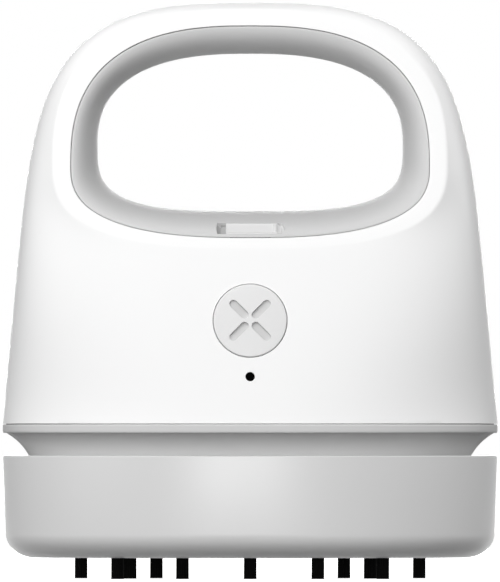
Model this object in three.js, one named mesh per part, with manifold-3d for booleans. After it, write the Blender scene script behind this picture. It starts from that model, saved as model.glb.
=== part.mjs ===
// Desktop mini vacuum cleaner: a bag-shaped body with a handle loop, on a pull-off dust box with brushes.
// Units are millimetres. +Z is up, the front faces -Y, and the bristle tips stand on z = 0.
import * as THREE from 'three';
import { mergeVertices } from 'three/addons/utils/BufferGeometryUtils.js';
import Module from 'manifold-3d';

const wasm = await Module();
wasm.setup();

// Driving dimensions
const overallWidth = 110;
const baseDepth = 59;
const seamStep = 0.6;
const bristleLength = 4.7;
const baseHeight = 22.7;
const coveHeight = 5;
const lipHeight = 2;
const bodyHeight = 93.6;
const wall = 2;
const clearance = 0.3;
const overrun = 1;
const planPower = 2.5;

// Levels worked out from them
const baseTop = bristleLength + baseHeight;
const lipBottom = baseTop + coveHeight;
const seamLevel = lipBottom + lipHeight;
const seamDepth = baseDepth - 2 * seamStep;

// Handle opening and its grip ring, as outlines in the X-Z plane, and the flat rim around the ring
const openingHalfWidth = 33.9;
const openingTop = 116.7;
const openingBottom = 81.7;
const openingWaist = 96;
const gripHalfWidth = 39.9;
const gripTop = 122.9;
const gripBottom = 75.5;
const gripWaist = 91.4;
const rimHalfWidth = 43.7;
const rimTop = 126.6;
const rimBottom = 73.3;
const rimWaist = 92.9;
const rimSetbackBelow = 5.7;
const rimSetbackAbove = 20.3;

// Finishes
const whiteGloss = { color: 0xf7f7f7, roughness: 0.25, metalness: 0 };
const greySatin = { color: 0xd2d2d2, roughness: 0.45, metalness: 0 };
const lightGrey = { color: 0xdcdcdc, roughness: 0.35, metalness: 0 };
const blackNylon = { color: 0x0b0b0b, roughness: 0.6, metalness: 0 };
const darkPlastic = { color: 0x2b2b2d, roughness: 0.5, metalness: 0 };
const boardGreen = { color: 0x1f5a3a, roughness: 0.5, metalness: 0 };
const steel = { color: 0xb9bcc0, roughness: 0.3, metalness: 1 };
const bronze = { color: 0xa9824c, roughness: 0.4, metalness: 1 };
const rubberGrey = { color: 0x4a4a4c, roughness: 0.8, metalness: 0 };
const filterWhite = { color: 0xf1efe8, roughness: 0.9, metalness: 0 };
const cellWrap = { color: 0x3f6fb0, roughness: 0.4, metalness: 0 };
const smokedLens = { color: 0x0d0d0e, roughness: 0.15, metalness: 0 };

// Geometry helpers
function solidOf(geometry) {
  const bare = geometry.clone();
  bare.deleteAttribute('normal');
  bare.deleteAttribute('uv');
  const merged = mergeVertices(bare);
  const vertProperties = new Float32Array(merged.attributes.position.array);
  const triVerts = new Uint32Array(merged.index.array);
  return new wasm.Manifold(new wasm.Mesh({ numProp: 3, vertProperties, triVerts }));
}

function geometryOf(solid) {
  const mesh = solid.getMesh();
  const geometry = new THREE.BufferGeometry();
  const positions = new Float32Array(mesh.vertProperties);
  geometry.setAttribute('position', new THREE.BufferAttribute(positions, mesh.numProp));
  geometry.setIndex(new THREE.BufferAttribute(new Uint32Array(mesh.triVerts), 1));
  return geometry;
}

function cutFrom(geometry, cutters) {
  return geometryOf(cutters.reduce((left, cutter) => left.subtract(solidOf(cutter)), solidOf(geometry)));
}

function joinAll(geometry, additions) {
  return geometryOf(additions.reduce((whole, extra) => whole.add(solidOf(extra)), solidOf(geometry)));
}

function signedVolume(points, triangles) {
  let sum = 0;
  for (let i = 0; i < triangles.length; i += 3) {
    const [a, b, c] = [points[triangles[i]], points[triangles[i + 1]], points[triangles[i + 2]]];
    sum += a.dot(new THREE.Vector3().crossVectors(b, c));
  }
  return sum;
}

function meshOf(points, triangles) {
  const outward = signedVolume(points, triangles) > 0;
  const order = outward ? triangles : triangles.slice().reverse();
  const geometry = new THREE.BufferGeometry();
  const positions = points.flatMap((p) => [p.x, p.y, p.z]);
  geometry.setAttribute('position', new THREE.Float32BufferAttribute(positions, 3));
  geometry.setIndex(order);
  return geometry;
}

// Joins closed rings of equal length; the last ring meets the first, or both ends close on a centre point
function loftRings(rings, ends) {
  const count = rings[0].length;
  const points = rings.flat();
  const triangles = [];
  const bands = ends ? rings.length - 1 : rings.length;
  for (let i = 0; i < bands; i += 1) {
    const next = (i + 1) % rings.length;
    for (let j = 0; j < count; j += 1) {
      const k = (j + 1) % count;
      const [a, b, c, d] = [i * count + j, i * count + k, next * count + k, next * count + j];
      triangles.push(a, b, c, a, c, d);
    }
  }
  if (ends) {
    const first = points.push(ends[0]) - 1;
    const last = points.push(ends[1]) - 1;
    const lastRing = (rings.length - 1) * count;
    for (let j = 0; j < count; j += 1) {
      const k = (j + 1) % count;
      triangles.push(first, k, j, last, lastRing + j, lastRing + k);
    }
  }
  return meshOf(points, triangles);
}

function powerOf(value, exponent) {
  return Math.sign(value) * Math.abs(value) ** exponent;
}

// A ring of points on an oval plan section drawn in from the base outline by an inset
function ovalRing(halfX, halfY, level, steps) {
  const ring = [];
  for (let j = 0; j < steps; j += 1) {
    const angle = (2 * Math.PI * j) / steps;
    const x = halfX * powerOf(Math.cos(angle), 2 / planPower);
    const y = halfY * powerOf(Math.sin(angle), 2 / planPower);
    ring.push(new THREE.Vector3(x, y, level));
  }
  return ring;
}

// Sweeps a profile of [inset, level] points round the oval base outline
function ovalSweep(profile, steps, endLevels) {
  const rings = profile.map(([inset, level]) => (
    ovalRing(overallWidth / 2 - inset, baseDepth / 2 - inset, level, steps)
  ));
  const ends = endLevels ? endLevels.map((level) => new THREE.Vector3(0, 0, level)) : null;
  return loftRings(rings, ends);
}

// Revolves a profile of [radius, height] points and stands its axis along Z
function turned(profile, steps) {
  const geometry = new THREE.LatheGeometry(profile.map(([r, h]) => new THREE.Vector2(r, h)), steps);
  geometry.rotateX(Math.PI / 2);
  const solid = mergeVertices(stripped(geometry));
  const position = solid.attributes.position;
  const points = [];
  for (let i = 0; i < position.count; i += 1) {
    points.push(new THREE.Vector3().fromBufferAttribute(position, i));
  }
  return meshOf(points, dropFlat(Array.from(solid.index.array)));
}

function stripped(geometry) {
  geometry.deleteAttribute('normal');
  geometry.deleteAttribute('uv');
  return geometry;
}

function dropFlat(triangles) {
  const kept = [];
  for (let i = 0; i < triangles.length; i += 3) {
    const [a, b, c] = triangles.slice(i, i + 3);
    if (a !== b && b !== c && c !== a) kept.push(a, b, c);
  }
  return kept;
}

function tube(innerRadius, outerRadius, low, high, steps) {
  return turned([
    [innerRadius, low],
    [outerRadius, low],
    [outerRadius, high],
    [innerRadius, high],
    [innerRadius, low],
  ], steps);
}

function rod(radius, low, high, steps) {
  return turned([[0, low], [radius, low], [radius, high], [0, high]], steps);
}

function block(low, high) {
  const size = high.map((value, i) => value - low[i]);
  const geometry = new THREE.BoxGeometry(...size);
  geometry.translate(...low.map((value, i) => value + size[i] / 2));
  return geometry;
}

function prism(radius, sides, height) {
  const shape = new THREE.Shape();
  for (let i = 0; i < sides; i += 1) {
    const angle = (2 * Math.PI * i) / sides;
    const [x, y] = [radius * Math.cos(angle), radius * Math.sin(angle)];
    if (i === 0) shape.moveTo(x, y);
    else shape.lineTo(x, y);
  }
  return new THREE.ExtrudeGeometry(shape, { depth: height, bevelEnabled: false });
}

// A flat bar with round ends, its long side along X, raised from z = low to z = high
function pill(length, width, low, high, endSteps) {
  const shape = new THREE.Shape();
  const reach = (length - width) / 2;
  shape.absarc(reach, 0, width / 2, -Math.PI / 2, Math.PI / 2, false);
  shape.absarc(-reach, 0, width / 2, Math.PI / 2, (3 * Math.PI) / 2, false);
  const options = { depth: high - low, bevelEnabled: false, curveSegments: endSteps };
  const geometry = new THREE.ExtrudeGeometry(shape, options);
  geometry.translate(0, 0, low);
  return geometry;
}

function piece(name, geometry, finish) {
  const mesh = new THREE.Mesh(geometry, new THREE.MeshStandardMaterial(finish));
  mesh.name = name;
  return mesh;
}

// Body surface: half width and half depth at a height above the seam, and the flat rim's depth
const sideLeanShare = 0.0926;
const frontLeanShare = 0.14;
const sideCrownPower = 6.75;
const sideShoulderPower = 3;
const frontCrownPower = 4;
const frontShoulderPower = 4.2;
const handlePlanPower = 4.6;
const planBlendHeight = 48;

function crown(height, top, crownPower, shoulderPower) {
  const left = 1 - (Math.max(height, 0) / top) ** crownPower;
  return Math.max(left, 0) ** (1 / shoulderPower);
}

function bodyHalfWidth(level, inset) {
  const height = level - seamLevel;
  const straight = overallWidth / 2 - sideLeanShare * height;
  return straight * crown(height, bodyHeight - inset, sideCrownPower, sideShoulderPower) - inset;
}

function bodyHalfDepth(level, inset) {
  const height = level - seamLevel;
  const straight = seamDepth / 2 - frontLeanShare * height;
  return straight * crown(height, bodyHeight - inset, frontCrownPower, frontShoulderPower) - inset;
}

function bodyPlanPower(level) {
  const share = THREE.MathUtils.smoothstep(level, seamLevel, seamLevel + planBlendHeight);
  return planPower + (handlePlanPower - planPower) * share;
}

function bodyDepthAt(x, level, inset) {
  const power = bodyPlanPower(level);
  const share = Math.abs(x) / Math.max(bodyHalfWidth(level, inset), clearance);
  const left = Math.max(1 - share ** power, 0);
  return Math.max(bodyHalfDepth(level, inset), 0) * left ** (1 / power);
}

const rimDepthBelow = seamDepth / 2 - rimSetbackBelow;
const rimDepthAbove = seamDepth / 2 - rimSetbackAbove;
const rimLean = (rimDepthBelow - rimDepthAbove) / (rimTop - rimBottom);
const rimWall = wall * Math.hypot(1, rimLean);

function rimDepthAt(level) {
  return rimDepthBelow - rimLean * (level - rimBottom);
}

// Outlines round the handle opening: half width, top, bottom, widest level, and the power of each half
const openingOutline = {
  halfWidth: openingHalfWidth,
  top: openingTop,
  bottom: openingBottom,
  waist: openingWaist,
  upperPower: 2.55,
  lowerPower: 3.3,
};
const gripOutline = {
  halfWidth: gripHalfWidth,
  top: gripTop,
  bottom: gripBottom,
  waist: gripWaist,
  upperPower: 2.6,
  lowerPower: 2.6,
};
const rimOutline = {
  halfWidth: rimHalfWidth,
  top: rimTop,
  bottom: rimBottom,
  waist: rimWaist,
  upperPower: 2.5,
  lowerPower: 2.9,
};

function grown(outline, by) {
  return {
    ...outline,
    halfWidth: outline.halfWidth + by,
    top: outline.top + by,
    bottom: outline.bottom - by,
  };
}

function insideOutline(outline, x, level) {
  const upper = level > outline.waist;
  const reach = upper ? outline.top - outline.waist : outline.waist - outline.bottom;
  const power = upper ? outline.upperPower : outline.lowerPower;
  const rise = Math.abs(level - outline.waist) / reach;
  return (Math.abs(x) / outline.halfWidth) ** power + rise ** power < 1;
}

function insideBody(inset, x, level) {
  return level > seamLevel && Math.abs(x) < bodyHalfWidth(level, inset);
}

// Distance from the handle's centre to where a ray leaves a region
const bisections = 40;

function reachOf(isInside, angle) {
  let near = 0;
  let far = overallWidth + bodyHeight;
  for (let i = 0; i < bisections; i += 1) {
    const middle = (near + far) / 2;
    const inside = isInside(middle * Math.cos(angle), rimWaist + middle * Math.sin(angle));
    if (inside) near = middle;
    else far = middle;
  }
  return (near + far) / 2;
}

// Ray angles round the handle's centre: even over the top, and on the oval plan's own points along the seam
const upperRays = 28;
const planSteps = 36;
const sideRings = 6;

function rayAngles() {
  const drop = rimWaist - seamLevel;
  const corner = Math.atan2(drop, overallWidth / 2);
  const angles = [];
  for (let i = 0; i < upperRays; i += 1) {
    angles.push(-corner + ((Math.PI + 2 * corner) * i) / upperRays);
  }
  for (let i = 0; i < planSteps / 2; i += 1) {
    const x = (-overallWidth / 2) * powerOf(Math.cos((2 * Math.PI * i) / planSteps), 2 / planPower);
    angles.push(2 * Math.PI + Math.atan2(-drop, x));
  }
  return angles;
}

// One face of the moulded skin, from the grip ring's edge over the flat rim to the parting line and seam
function skinRings(inset, facing) {
  const edge = grown(gripOutline, clearance);
  const crease = grown(rimOutline, -inset);
  const rimInset = inset > 0 ? rimWall : 0;
  const rays = rayAngles().map((angle) => {
    const edgeReach = reachOf((x, z) => insideOutline(edge, x, z), angle);
    const rimReach = reachOf((x, z) => insideOutline(crease, x, z), angle);
    const creaseReach = Math.max(rimReach, edgeReach + clearance);
    const outerReach = reachOf((x, z) => insideBody(inset, x, z), angle);
    const creaseX = creaseReach * Math.cos(angle);
    const creaseZ = rimWaist + creaseReach * Math.sin(angle);
    const step = rimDepthAt(creaseZ) - rimInset - bodyDepthAt(creaseX, creaseZ, inset);
    return { angle, edgeReach, creaseReach, outerReach, step };
  });
  const place = (ray, reach, depthOf) => {
    const x = reach * Math.cos(ray.angle);
    const z = rimWaist + reach * Math.sin(ray.angle);
    return new THREE.Vector3(x, facing * depthOf(x, z), z);
  };
  const rings = [rays.map((ray) => place(ray, ray.edgeReach, (x, z) => rimDepthAt(z) - rimInset))];
  for (let i = 0; i <= sideRings; i += 1) {
    const along = Math.sin((Math.PI * i) / (2 * sideRings));
    rings.push(rays.map((ray) => {
      const reach = ray.creaseReach + (ray.outerReach - ray.creaseReach) * along;
      return place(ray, reach, (x, z) => bodyDepthAt(x, z, inset) + ray.step * (1 - along) ** 2);
    }));
  }
  const onSeam = (point) => point.z < seamLevel + clearance / 2;
  rings[rings.length - 1].forEach((point) => {
    const low = onSeam(point);
    point.z = low ? seamLevel : point.z;
    point.y = low ? point.y : 0;
  });
  return rings;
}

function halfShell(facing) {
  const outer = skinRings(0, facing);
  const inner = skinRings(wall, facing);
  return loftRings([...outer, ...inner.reverse()], null);
}

// Cells that stand on the neck's deck at either end
const cellPlaceShare = 0.618;
const cellRadius = 8.25;
const cellHeight = 34;
const cellX = (overallWidth / 2) * cellPlaceShare;

// Screw bosses that hang inside each half shell, tied to its wall by a rib and set between spigot and cells
const spigotInset = 12.2;
const spigotThickness = 1.5;
const bossDepthShare = 0.6;
const bossBesideShare = 0.78;
const bossRadius = 2.8;
const bossCellGap = 1.37;
const bossToCell = cellRadius + bossRadius + bossCellGap;
const bossDepthInSpigot = (baseDepth / 2 - spigotInset - spigotThickness) * bossDepthShare;
const bossY = Math.min(bossDepthInSpigot, bossToCell * bossBesideShare);
const bossX = cellX - Math.sqrt(bossToCell ** 2 - bossY ** 2);
const pilotRadius = 0.9;
const bossHeight = 12;
const ribThickness = 1.4;
const bossSteps = 10;
const screwShankRadius = 1.1;
const screwHeadRadius = 2.1;
const screwHeadHeight = 1.4;
const screwEngagement = 7;

function bossWithRib(x, facing) {
  const foot = seamLevel + clearance;
  const wallDepth = bodyDepthAt(x, foot + bossHeight, wall / 2);
  const boss = rod(bossRadius, foot, foot + bossHeight, bossSteps);
  boss.translate(x, facing * bossY, 0);
  const front = Math.min(facing * bossY, facing * wallDepth);
  const back = Math.max(facing * bossY, facing * wallDepth);
  const rib = block(
    [x - ribThickness / 2, front, foot + bossHeight / 3],
    [x + ribThickness / 2, back, foot + bossHeight],
  );
  return [boss, rib];
}

function pilotHole(x, facing) {
  const foot = seamLevel + clearance;
  const hole = rod(pilotRadius + clearance, foot - overrun, foot + screwEngagement + clearance, bossSteps);
  hole.translate(x, facing * bossY, 0);
  return hole;
}

// Front controls, on an axis square to the leaning front face
const buttonLevel = 57.3;
const buttonRadius = 8.15;
const buttonProud = 0.5;
const buttonRound = 0.5;
const buttonFlangeRadius = 9.3;
const buttonFlangeThickness = 0.8;
const buttonTravel = 0.6;
const buttonStemRadius = 1.7;
const buttonStemLength = 1.5;
const recessOffset = 2.48;
const recessLength = 5.2;
const recessWidth = 1.75;
const recessDepth = 0.6;
const ledLevel = 44.9;
const ledRadius = 1;
const buttonSteps = 30;

const depthBelowButton = bodyHalfDepth(buttonLevel - wall, 0);
const depthAboveButton = bodyHalfDepth(buttonLevel + wall, 0);
const frontLean = Math.atan((depthBelowButton - depthAboveButton) / (2 * wall));
const controlOrigin = new THREE.Vector3(0, -bodyHalfDepth(buttonLevel, 0), buttonLevel);
const ledDrop = (buttonLevel - ledLevel) / Math.cos(frontLean);

// The control frame's +Z points out of the front face, square to it, and its +Y runs up the face
function placeOnFront(geometry) {
  geometry.rotateX(Math.PI / 2 - frontLean);
  geometry.translate(controlOrigin.x, controlOrigin.y, controlOrigin.z);
  return geometry;
}

// Depths behind the front face, in the control frame
const flangeFront = wall + clearance;
const flangeBack = flangeFront + buttonFlangeThickness;
const stemEnd = flangeBack + buttonStemLength;
const tactWidth = 6;
const tactHeight = 3.6;
const tactPlungerRadius = 1.7;
const tactPlungerLength = 2.1;
const tactPlungerReach = 0.7;
const plungerFront = stemEnd + clearance;
const tactFront = plungerFront + tactPlungerReach;
const boardThickness = 1.2;
const boardFront = tactFront + tactHeight + clearance;
const boardHalfWidth = 12;
const boardAbove = 9.5;
const boardMargin = 2.2;
const postRadius = 1.5;
const postInset = 2.4;

function boardPosts() {
  const places = [];
  for (const side of [-1, 1]) {
    for (const y of [boardAbove - postInset, -ledDrop - boardMargin + postInset]) {
      const post = rod(postRadius, -(boardFront - clearance), -wall / 2, bossSteps);
      post.translate(side * (boardHalfWidth - postInset), y, 0);
      places.push(placeOnFront(post));
    }
  }
  return places;
}

function frontShell() {
  const bosses = [-bossX, bossX].flatMap((x) => bossWithRib(x, -1));
  const shell = joinAll(halfShell(-1), [...bosses, ...boardPosts()]);
  const holeEnd = -flangeFront - overrun;
  const buttonHole = rod(buttonRadius + clearance, holeEnd, buttonProud + overrun, buttonSteps);
  const ledHole = rod(ledRadius + clearance / 2, holeEnd, overrun, bossSteps);
  ledHole.translate(0, -ledDrop, 0);
  return cutFrom(shell, [
    placeOnFront(buttonHole),
    placeOnFront(ledHole),
    pilotHole(-bossX, -1),
    pilotHole(bossX, -1),
  ]);
}

// Rear shell: charging socket cut-out, exhaust slots above it, and two rails that carry the charging board
const socketWidth = 8.9;
const socketHeight = 3.2;
const socketLength = 7.3;
const chargeBoardLevel = 43;
const chargeBoardHalfWidth = 12;
const chargeBoardDepth = 11;
const railWidth = 2;
const railHeight = 1.6;
const railLength = 9;
const ventCount = 7;
const ventPitch = 4.6;
const ventWidth = 1.8;
const ventHeight = 18;
const ventLevel = 62;
const ventEndSteps = 3;

const socketLow = chargeBoardLevel + boardThickness + clearance;
const socketMiddle = socketLow + socketHeight / 2;
const socketMouth = bodyHalfDepth(socketMiddle, 0) - clearance;

function rearCutters() {
  const cutters = [];
  const reach = seamDepth / 2 + overrun;
  const holeWidth = socketWidth + 2 * clearance;
  const holeHeight = socketHeight + 2 * clearance;
  const socketHole = pill(holeWidth, holeHeight, -reach, -reach / 2, slotEndSteps);
  socketHole.rotateX(Math.PI / 2);
  socketHole.translate(0, 0, socketMiddle);
  cutters.push(socketHole);
  for (let i = 0; i < ventCount; i += 1) {
    const vent = pill(ventHeight, ventWidth, -reach, -reach / 2, ventEndSteps);
    vent.rotateZ(Math.PI / 2);
    vent.rotateX(Math.PI / 2);
    vent.translate((i - (ventCount - 1) / 2) * ventPitch, 0, ventLevel);
    cutters.push(vent);
  }
  return cutters;
}

function rearShell() {
  const bosses = [-bossX, bossX].flatMap((x) => bossWithRib(x, 1));
  const railTop = chargeBoardLevel - clearance;
  const railBack = bodyHalfDepth(railTop, wall / 2);
  const rails = [-1, 1].map((side) => {
    const outer = side * (chargeBoardHalfWidth - railWidth / 2);
    return block(
      [outer - railWidth / 2, railBack - railLength, railTop - railHeight],
      [outer + railWidth / 2, railBack, railTop],
    );
  });
  const shell = joinAll(halfShell(1), [...bosses, ...rails]);
  return cutFrom(shell, [...rearCutters(), pilotHole(-bossX, 1), pilotHole(bossX, 1)]);
}

// Grip ring: a crowned ring that lines the handle opening, with lips behind the shells' edges
const gripRecess = 0.35;
const gripWall = 1.8;
const gripLip = 1.2;
const gripLipThickness = 1.2;
const gripArcSteps = 6;
const gripHiddenSteps = 4;

function gripSection(angle) {
  const outerReach = reachOf((x, z) => insideOutline(gripOutline, x, z), angle);
  const innerReach = reachOf((x, z) => insideOutline(openingOutline, x, z), angle);
  const crownHeight = outerReach - innerReach;
  const at = (reach, facing, depthOf) => {
    const z = rimWaist + reach * Math.sin(angle);
    return new THREE.Vector3(reach * Math.cos(angle), facing * depthOf(z), z);
  };
  const edgeDepth = rimDepthAt(rimWaist + outerReach * Math.sin(angle)) - gripRecess;
  const section = [];
  for (let i = 0; i <= gripArcSteps; i += 1) {
    const turn = (Math.PI * i) / gripArcSteps;
    section.push(at(outerReach - crownHeight * Math.sin(turn), 1, () => -edgeDepth * Math.cos(turn)));
  }
  const lipFront = (z) => rimDepthAt(z) - rimWall - clearance;
  const lipBack = (z) => lipFront(z) - gripLipThickness;
  section.push(at(outerReach, 1, lipFront));
  section.push(at(outerReach + gripLip, 1, lipFront));
  section.push(at(outerReach + gripLip, 1, lipBack));
  const hiddenDepth = lipBack(rimWaist + outerReach * Math.sin(angle));
  for (let i = 0; i <= gripHiddenSteps; i += 1) {
    const turn = Math.PI - (Math.PI * i) / gripHiddenSteps;
    const hiddenReach = outerReach - (crownHeight - gripWall) * Math.sin(turn);
    section.push(at(hiddenReach, 1, () => -hiddenDepth * Math.cos(turn)));
  }
  section.push(at(outerReach + gripLip, -1, lipBack));
  section.push(at(outerReach + gripLip, -1, lipFront));
  section.push(at(outerReach, -1, lipFront));
  return section;
}

// Slide switch in the lower front slope of the grip ring; its frame's +Z leaves the slope
const slotLength = 14.7;
const slotWidth = 3.9;
const slotRiseShare = 0.347;
const knobLength = 12.3;
const knobRecess = 0.25;
const knobThickness = 1.4;
const knobTravel = 1.8;
const knobRidgeWidth = 1;
const knobRidgeHeight = 0.35;
const knobStemSize = 1.2;
const knobStemLength = 2.3;
const slideBodyLength = 9;
const slideBodyWidth = 3.2;
const slideOffset = 0.7;
const slidePostRadius = 1.2;
const slideBodyHeight = 3;
const slideBoardLength = 21;
const slideBoardWidth = 6.4;
const slotEndSteps = 6;

const slopeTurn = Math.asin(slotRiseShare);
const slopeDepth = rimDepthAt(gripBottom) - gripRecess;
const slopeCrown = openingBottom - gripBottom;
const slopeAngle = Math.atan2(slopeCrown * Math.cos(slopeTurn), slopeDepth * Math.sin(slopeTurn));
const slotLevel = gripBottom + slopeCrown * slotRiseShare;
const slotOrigin = new THREE.Vector3(0, -slopeDepth * Math.cos(slopeTurn), slotLevel);
const knobRest = slotLength / 2 - clearance - knobLength / 2;
const slideBodyTop = knobRecess + knobThickness + 2 * clearance;
const slideBoardTop = slideBodyTop + slideBodyHeight + clearance;

function placeOnSlope(geometry) {
  geometry.rotateX(slopeAngle);
  geometry.translate(slotOrigin.x, slotOrigin.y, slotOrigin.z);
  return geometry;
}

function gripRing() {
  const sections = rayAngles().map((angle) => gripSection(angle));
  const half = slideBodyLength / 2 + clearance;
  const switchRelief = block(
    [-half, slideOffset - slideBodyWidth / 2 - clearance, -slideBodyTop - slideBodyHeight],
    [half, slideOffset + slideBodyWidth / 2 + clearance, -slideBodyTop + clearance],
  );
  const posts = [-1, 1].map((side) => {
    const post = rod(slidePostRadius, -(slideBoardTop - clearance), -gripWall / 2, bossSteps);
    post.translate(side * (slideBoardLength / 2 - slidePostRadius), slideOffset, 0);
    return placeOnSlope(post);
  });
  const slot = pill(slotLength, slotWidth, -2 * slopeCrown / 3, overrun, slotEndSteps);
  const lipRelief = block(
    [-slideBoardLength / 2, -rimDepthBelow, gripBottom - gripLip - overrun],
    [slideBoardLength / 2, -rimDepthBelow / 2, gripBottom],
  );
  const cutters = [placeOnSlope(slot), placeOnSlope(switchRelief), lipRelief];
  return joinAll(cutFrom(loftRings(sections, null), cutters), posts);
}

function slideKnob() {
  const width = slotWidth - 2 * clearance;
  const low = -(knobRecess + knobThickness);
  const plate = pill(knobLength, width, low, -knobRecess, slotEndSteps);
  const stem = block(
    [-knobStemSize / 2, slideOffset - knobStemSize / 2, low - knobStemLength],
    [knobStemSize / 2, slideOffset + knobStemSize / 2, low + clearance],
  );
  const ridgeX = knobLength / 2 - width / 2;
  const ridge = block(
    [ridgeX - knobRidgeWidth / 2, -width / 3, -knobRecess - clearance],
    [ridgeX + knobRidgeWidth / 2, width / 3, -knobRecess + knobRidgeHeight],
  );
  const knob = joinAll(plate, [stem, ridge]);
  knob.translate(knobRest, 0, 0);
  return placeOnSlope(knob);
}

function slideSwitch() {
  const body = block(
    [-slideBodyLength / 2, slideOffset - slideBodyWidth / 2, -slideBodyTop - slideBodyHeight],
    [slideBodyLength / 2, slideOffset + slideBodyWidth / 2, -slideBodyTop],
  );
  const low = knobRest - knobTravel - knobStemSize / 2 - clearance;
  const high = knobRest + knobStemSize / 2 + clearance;
  const track = block(
    [low, slideOffset - knobStemSize / 2 - clearance, -slideBodyTop - knobStemLength],
    [high, slideOffset + knobStemSize / 2 + clearance, -slideBodyTop + overrun],
  );
  return placeOnSlope(cutFrom(body, [track]));
}

function slideBoard() {
  return placeOnSlope(block(
    [-slideBoardLength / 2, slideOffset - slideBoardWidth / 2, -slideBoardTop - boardThickness],
    [slideBoardLength / 2, slideOffset + slideBoardWidth / 2, -slideBoardTop],
  ));
}

// Power button with four grip recesses, its switch and board, and the status light
function powerButton() {
  const profile = [
    [0, buttonProud],
    [buttonRadius - buttonRound, buttonProud],
    [buttonRadius - buttonRound * (1 - Math.SQRT1_2), buttonProud - buttonRound * (1 - Math.SQRT1_2)],
    [buttonRadius, buttonProud - buttonRound],
    [buttonRadius, -flangeFront],
    [buttonFlangeRadius, -flangeFront],
    [buttonFlangeRadius, -flangeBack],
    [buttonStemRadius, -flangeBack],
    [buttonStemRadius, -stemEnd],
    [0, -stemEnd],
  ];
  const recesses = [];
  for (const [sx, sy] of [[1, 1], [-1, 1], [-1, -1], [1, -1]]) {
    const recessFloor = buttonProud - recessDepth;
    const recess = pill(recessLength, recessWidth, recessFloor, buttonProud + overrun, slotEndSteps);
    recess.rotateZ((sx * sy * Math.PI) / 4);
    recess.translate(sx * recessOffset, sy * recessOffset, 0);
    recesses.push(recess);
  }
  return placeOnFront(cutFrom(turned(profile, buttonSteps), recesses));
}

function tactPlunger() {
  const end = plungerFront + tactPlungerLength;
  return placeOnFront(rod(tactPlungerRadius, -end, -plungerFront, bossSteps));
}

function tactSwitch() {
  const half = tactWidth / 2;
  const body = block([-half, -half, -(tactFront + tactHeight)], [half, half, -tactFront]);
  const wellEnd = tactFront + tactPlungerLength - tactPlungerReach + buttonTravel + clearance;
  const well = rod(tactPlungerRadius + clearance, -wellEnd, -tactFront + overrun, bossSteps);
  return placeOnFront(cutFrom(body, [well]));
}

function buttonBoard() {
  return placeOnFront(block(
    [-boardHalfWidth, -ledDrop - boardMargin, -(boardFront + boardThickness)],
    [boardHalfWidth, boardAbove, -boardFront],
  ));
}

const diodeSize = 1.6;
const diodeHeight = 1.1;
const lensRecess = 0.1;

function lightPipe() {
  const back = boardFront - clearance - diodeHeight - clearance;
  const pipe = rod(ledRadius, -back, -lensRecess, bossSteps);
  pipe.translate(0, -ledDrop, 0);
  return placeOnFront(pipe);
}

function statusLight() {
  const back = boardFront - clearance;
  const half = diodeSize / 2;
  return placeOnFront(block(
    [-half, -ledDrop - half, -back],
    [half, -ledDrop + half, -(back - diodeHeight)],
  ));
}

// Neck collar: the rounded lip and the cove, the deck that carries the fan and cells, and the spigot
const lipRound = 0.5;
const coveTopInset = 0.9;
const coveFootInset = 6.1;
const coveControlInset = 4.2;
const coveControlRise = 3.3;
const coveSteps = 5;
const tongueThickness = 1.5;
const tongueHeight = 2.6;
const collarWall = 2;
const deckThickness = 2;
const deckLevel = 31;
const spigotDrop = 3.9;
const cupThickness = 1.3;
const cupHeight = 3.4;
const roundSteps = 20;

// The tongue stands inside the leaning shells, so it is drawn in by their wall and by how far they lean
const tongueInset = wall + 2 * clearance + seamStep + frontLeanShare * tongueHeight;
const tongueBack = tongueInset + tongueThickness;

// The fan fills the neck between the tongue's walls and the cells
const fanWallGap = 1.44;
const fanCellGap = 2.75;
const fanWall = 1.5;
const fanTipGap = 1.5;
const fanEyeShare = 0.5;
const fanRadiusByDepth = baseDepth / 2 - tongueBack - fanWallGap;
const fanOuterRadius = Math.min(fanRadiusByDepth, cellX - cellRadius - fanCellGap);
const impellerRadius = fanOuterRadius - fanWall - fanTipGap;
const fanEyeRadius = impellerRadius * fanEyeShare;

function covePoints() {
  const curve = new THREE.QuadraticBezierCurve(
    new THREE.Vector2(coveFootInset, baseTop),
    new THREE.Vector2(coveControlInset, baseTop + coveControlRise),
    new THREE.Vector2(coveTopInset, lipBottom),
  );
  return curve.getPoints(coveSteps).map((p) => [p.x, p.y]);
}

function neckCollar() {
  const lipTop = seamLevel - clearance;
  const deckBottom = deckLevel - deckThickness;
  const profile = [
    [spigotInset + spigotThickness, deckBottom],
    [spigotInset + spigotThickness, baseTop - spigotDrop],
    [spigotInset, baseTop - spigotDrop],
    [spigotInset, baseTop],
    ...covePoints(),
    [lipRound * (1 - Math.SQRT1_2), lipBottom + lipRound * (1 - Math.SQRT1_2)],
    [0, lipBottom + lipRound],
    [0, lipTop - lipRound],
    [lipRound * (1 - Math.SQRT1_2), lipTop - lipRound * (1 - Math.SQRT1_2)],
    [lipRound, lipTop],
    [tongueInset, lipTop],
    [tongueInset, seamLevel + tongueHeight],
    [tongueBack, seamLevel + tongueHeight],
    [tongueBack + collarWall / 4, deckLevel],
  ];
  const deck = ovalSweep(profile, planSteps, [deckBottom, deckLevel]);
  const cups = [-cellX, cellX].map((x) => {
    const inner = cellRadius + clearance;
    const cup = tube(inner, inner + cupThickness, deckLevel - overrun, deckLevel + cupHeight, roundSteps);
    cup.translate(x, 0, 0);
    return cup;
  });
  const eye = rod(fanEyeRadius, deckBottom - overrun, deckLevel + overrun, roundSteps);
  const screwHoles = [];
  for (const sx of [-1, 1]) {
    for (const sy of [-1, 1]) {
      const hole = rod(screwShankRadius + clearance, deckBottom - overrun, deckLevel + overrun, bossSteps);
      hole.translate(sx * bossX, sy * bossY, 0);
      screwHoles.push(hole);
    }
  }
  return cutFrom(joinAll(deck, cups), [eye, ...screwHoles]);
}

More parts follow.
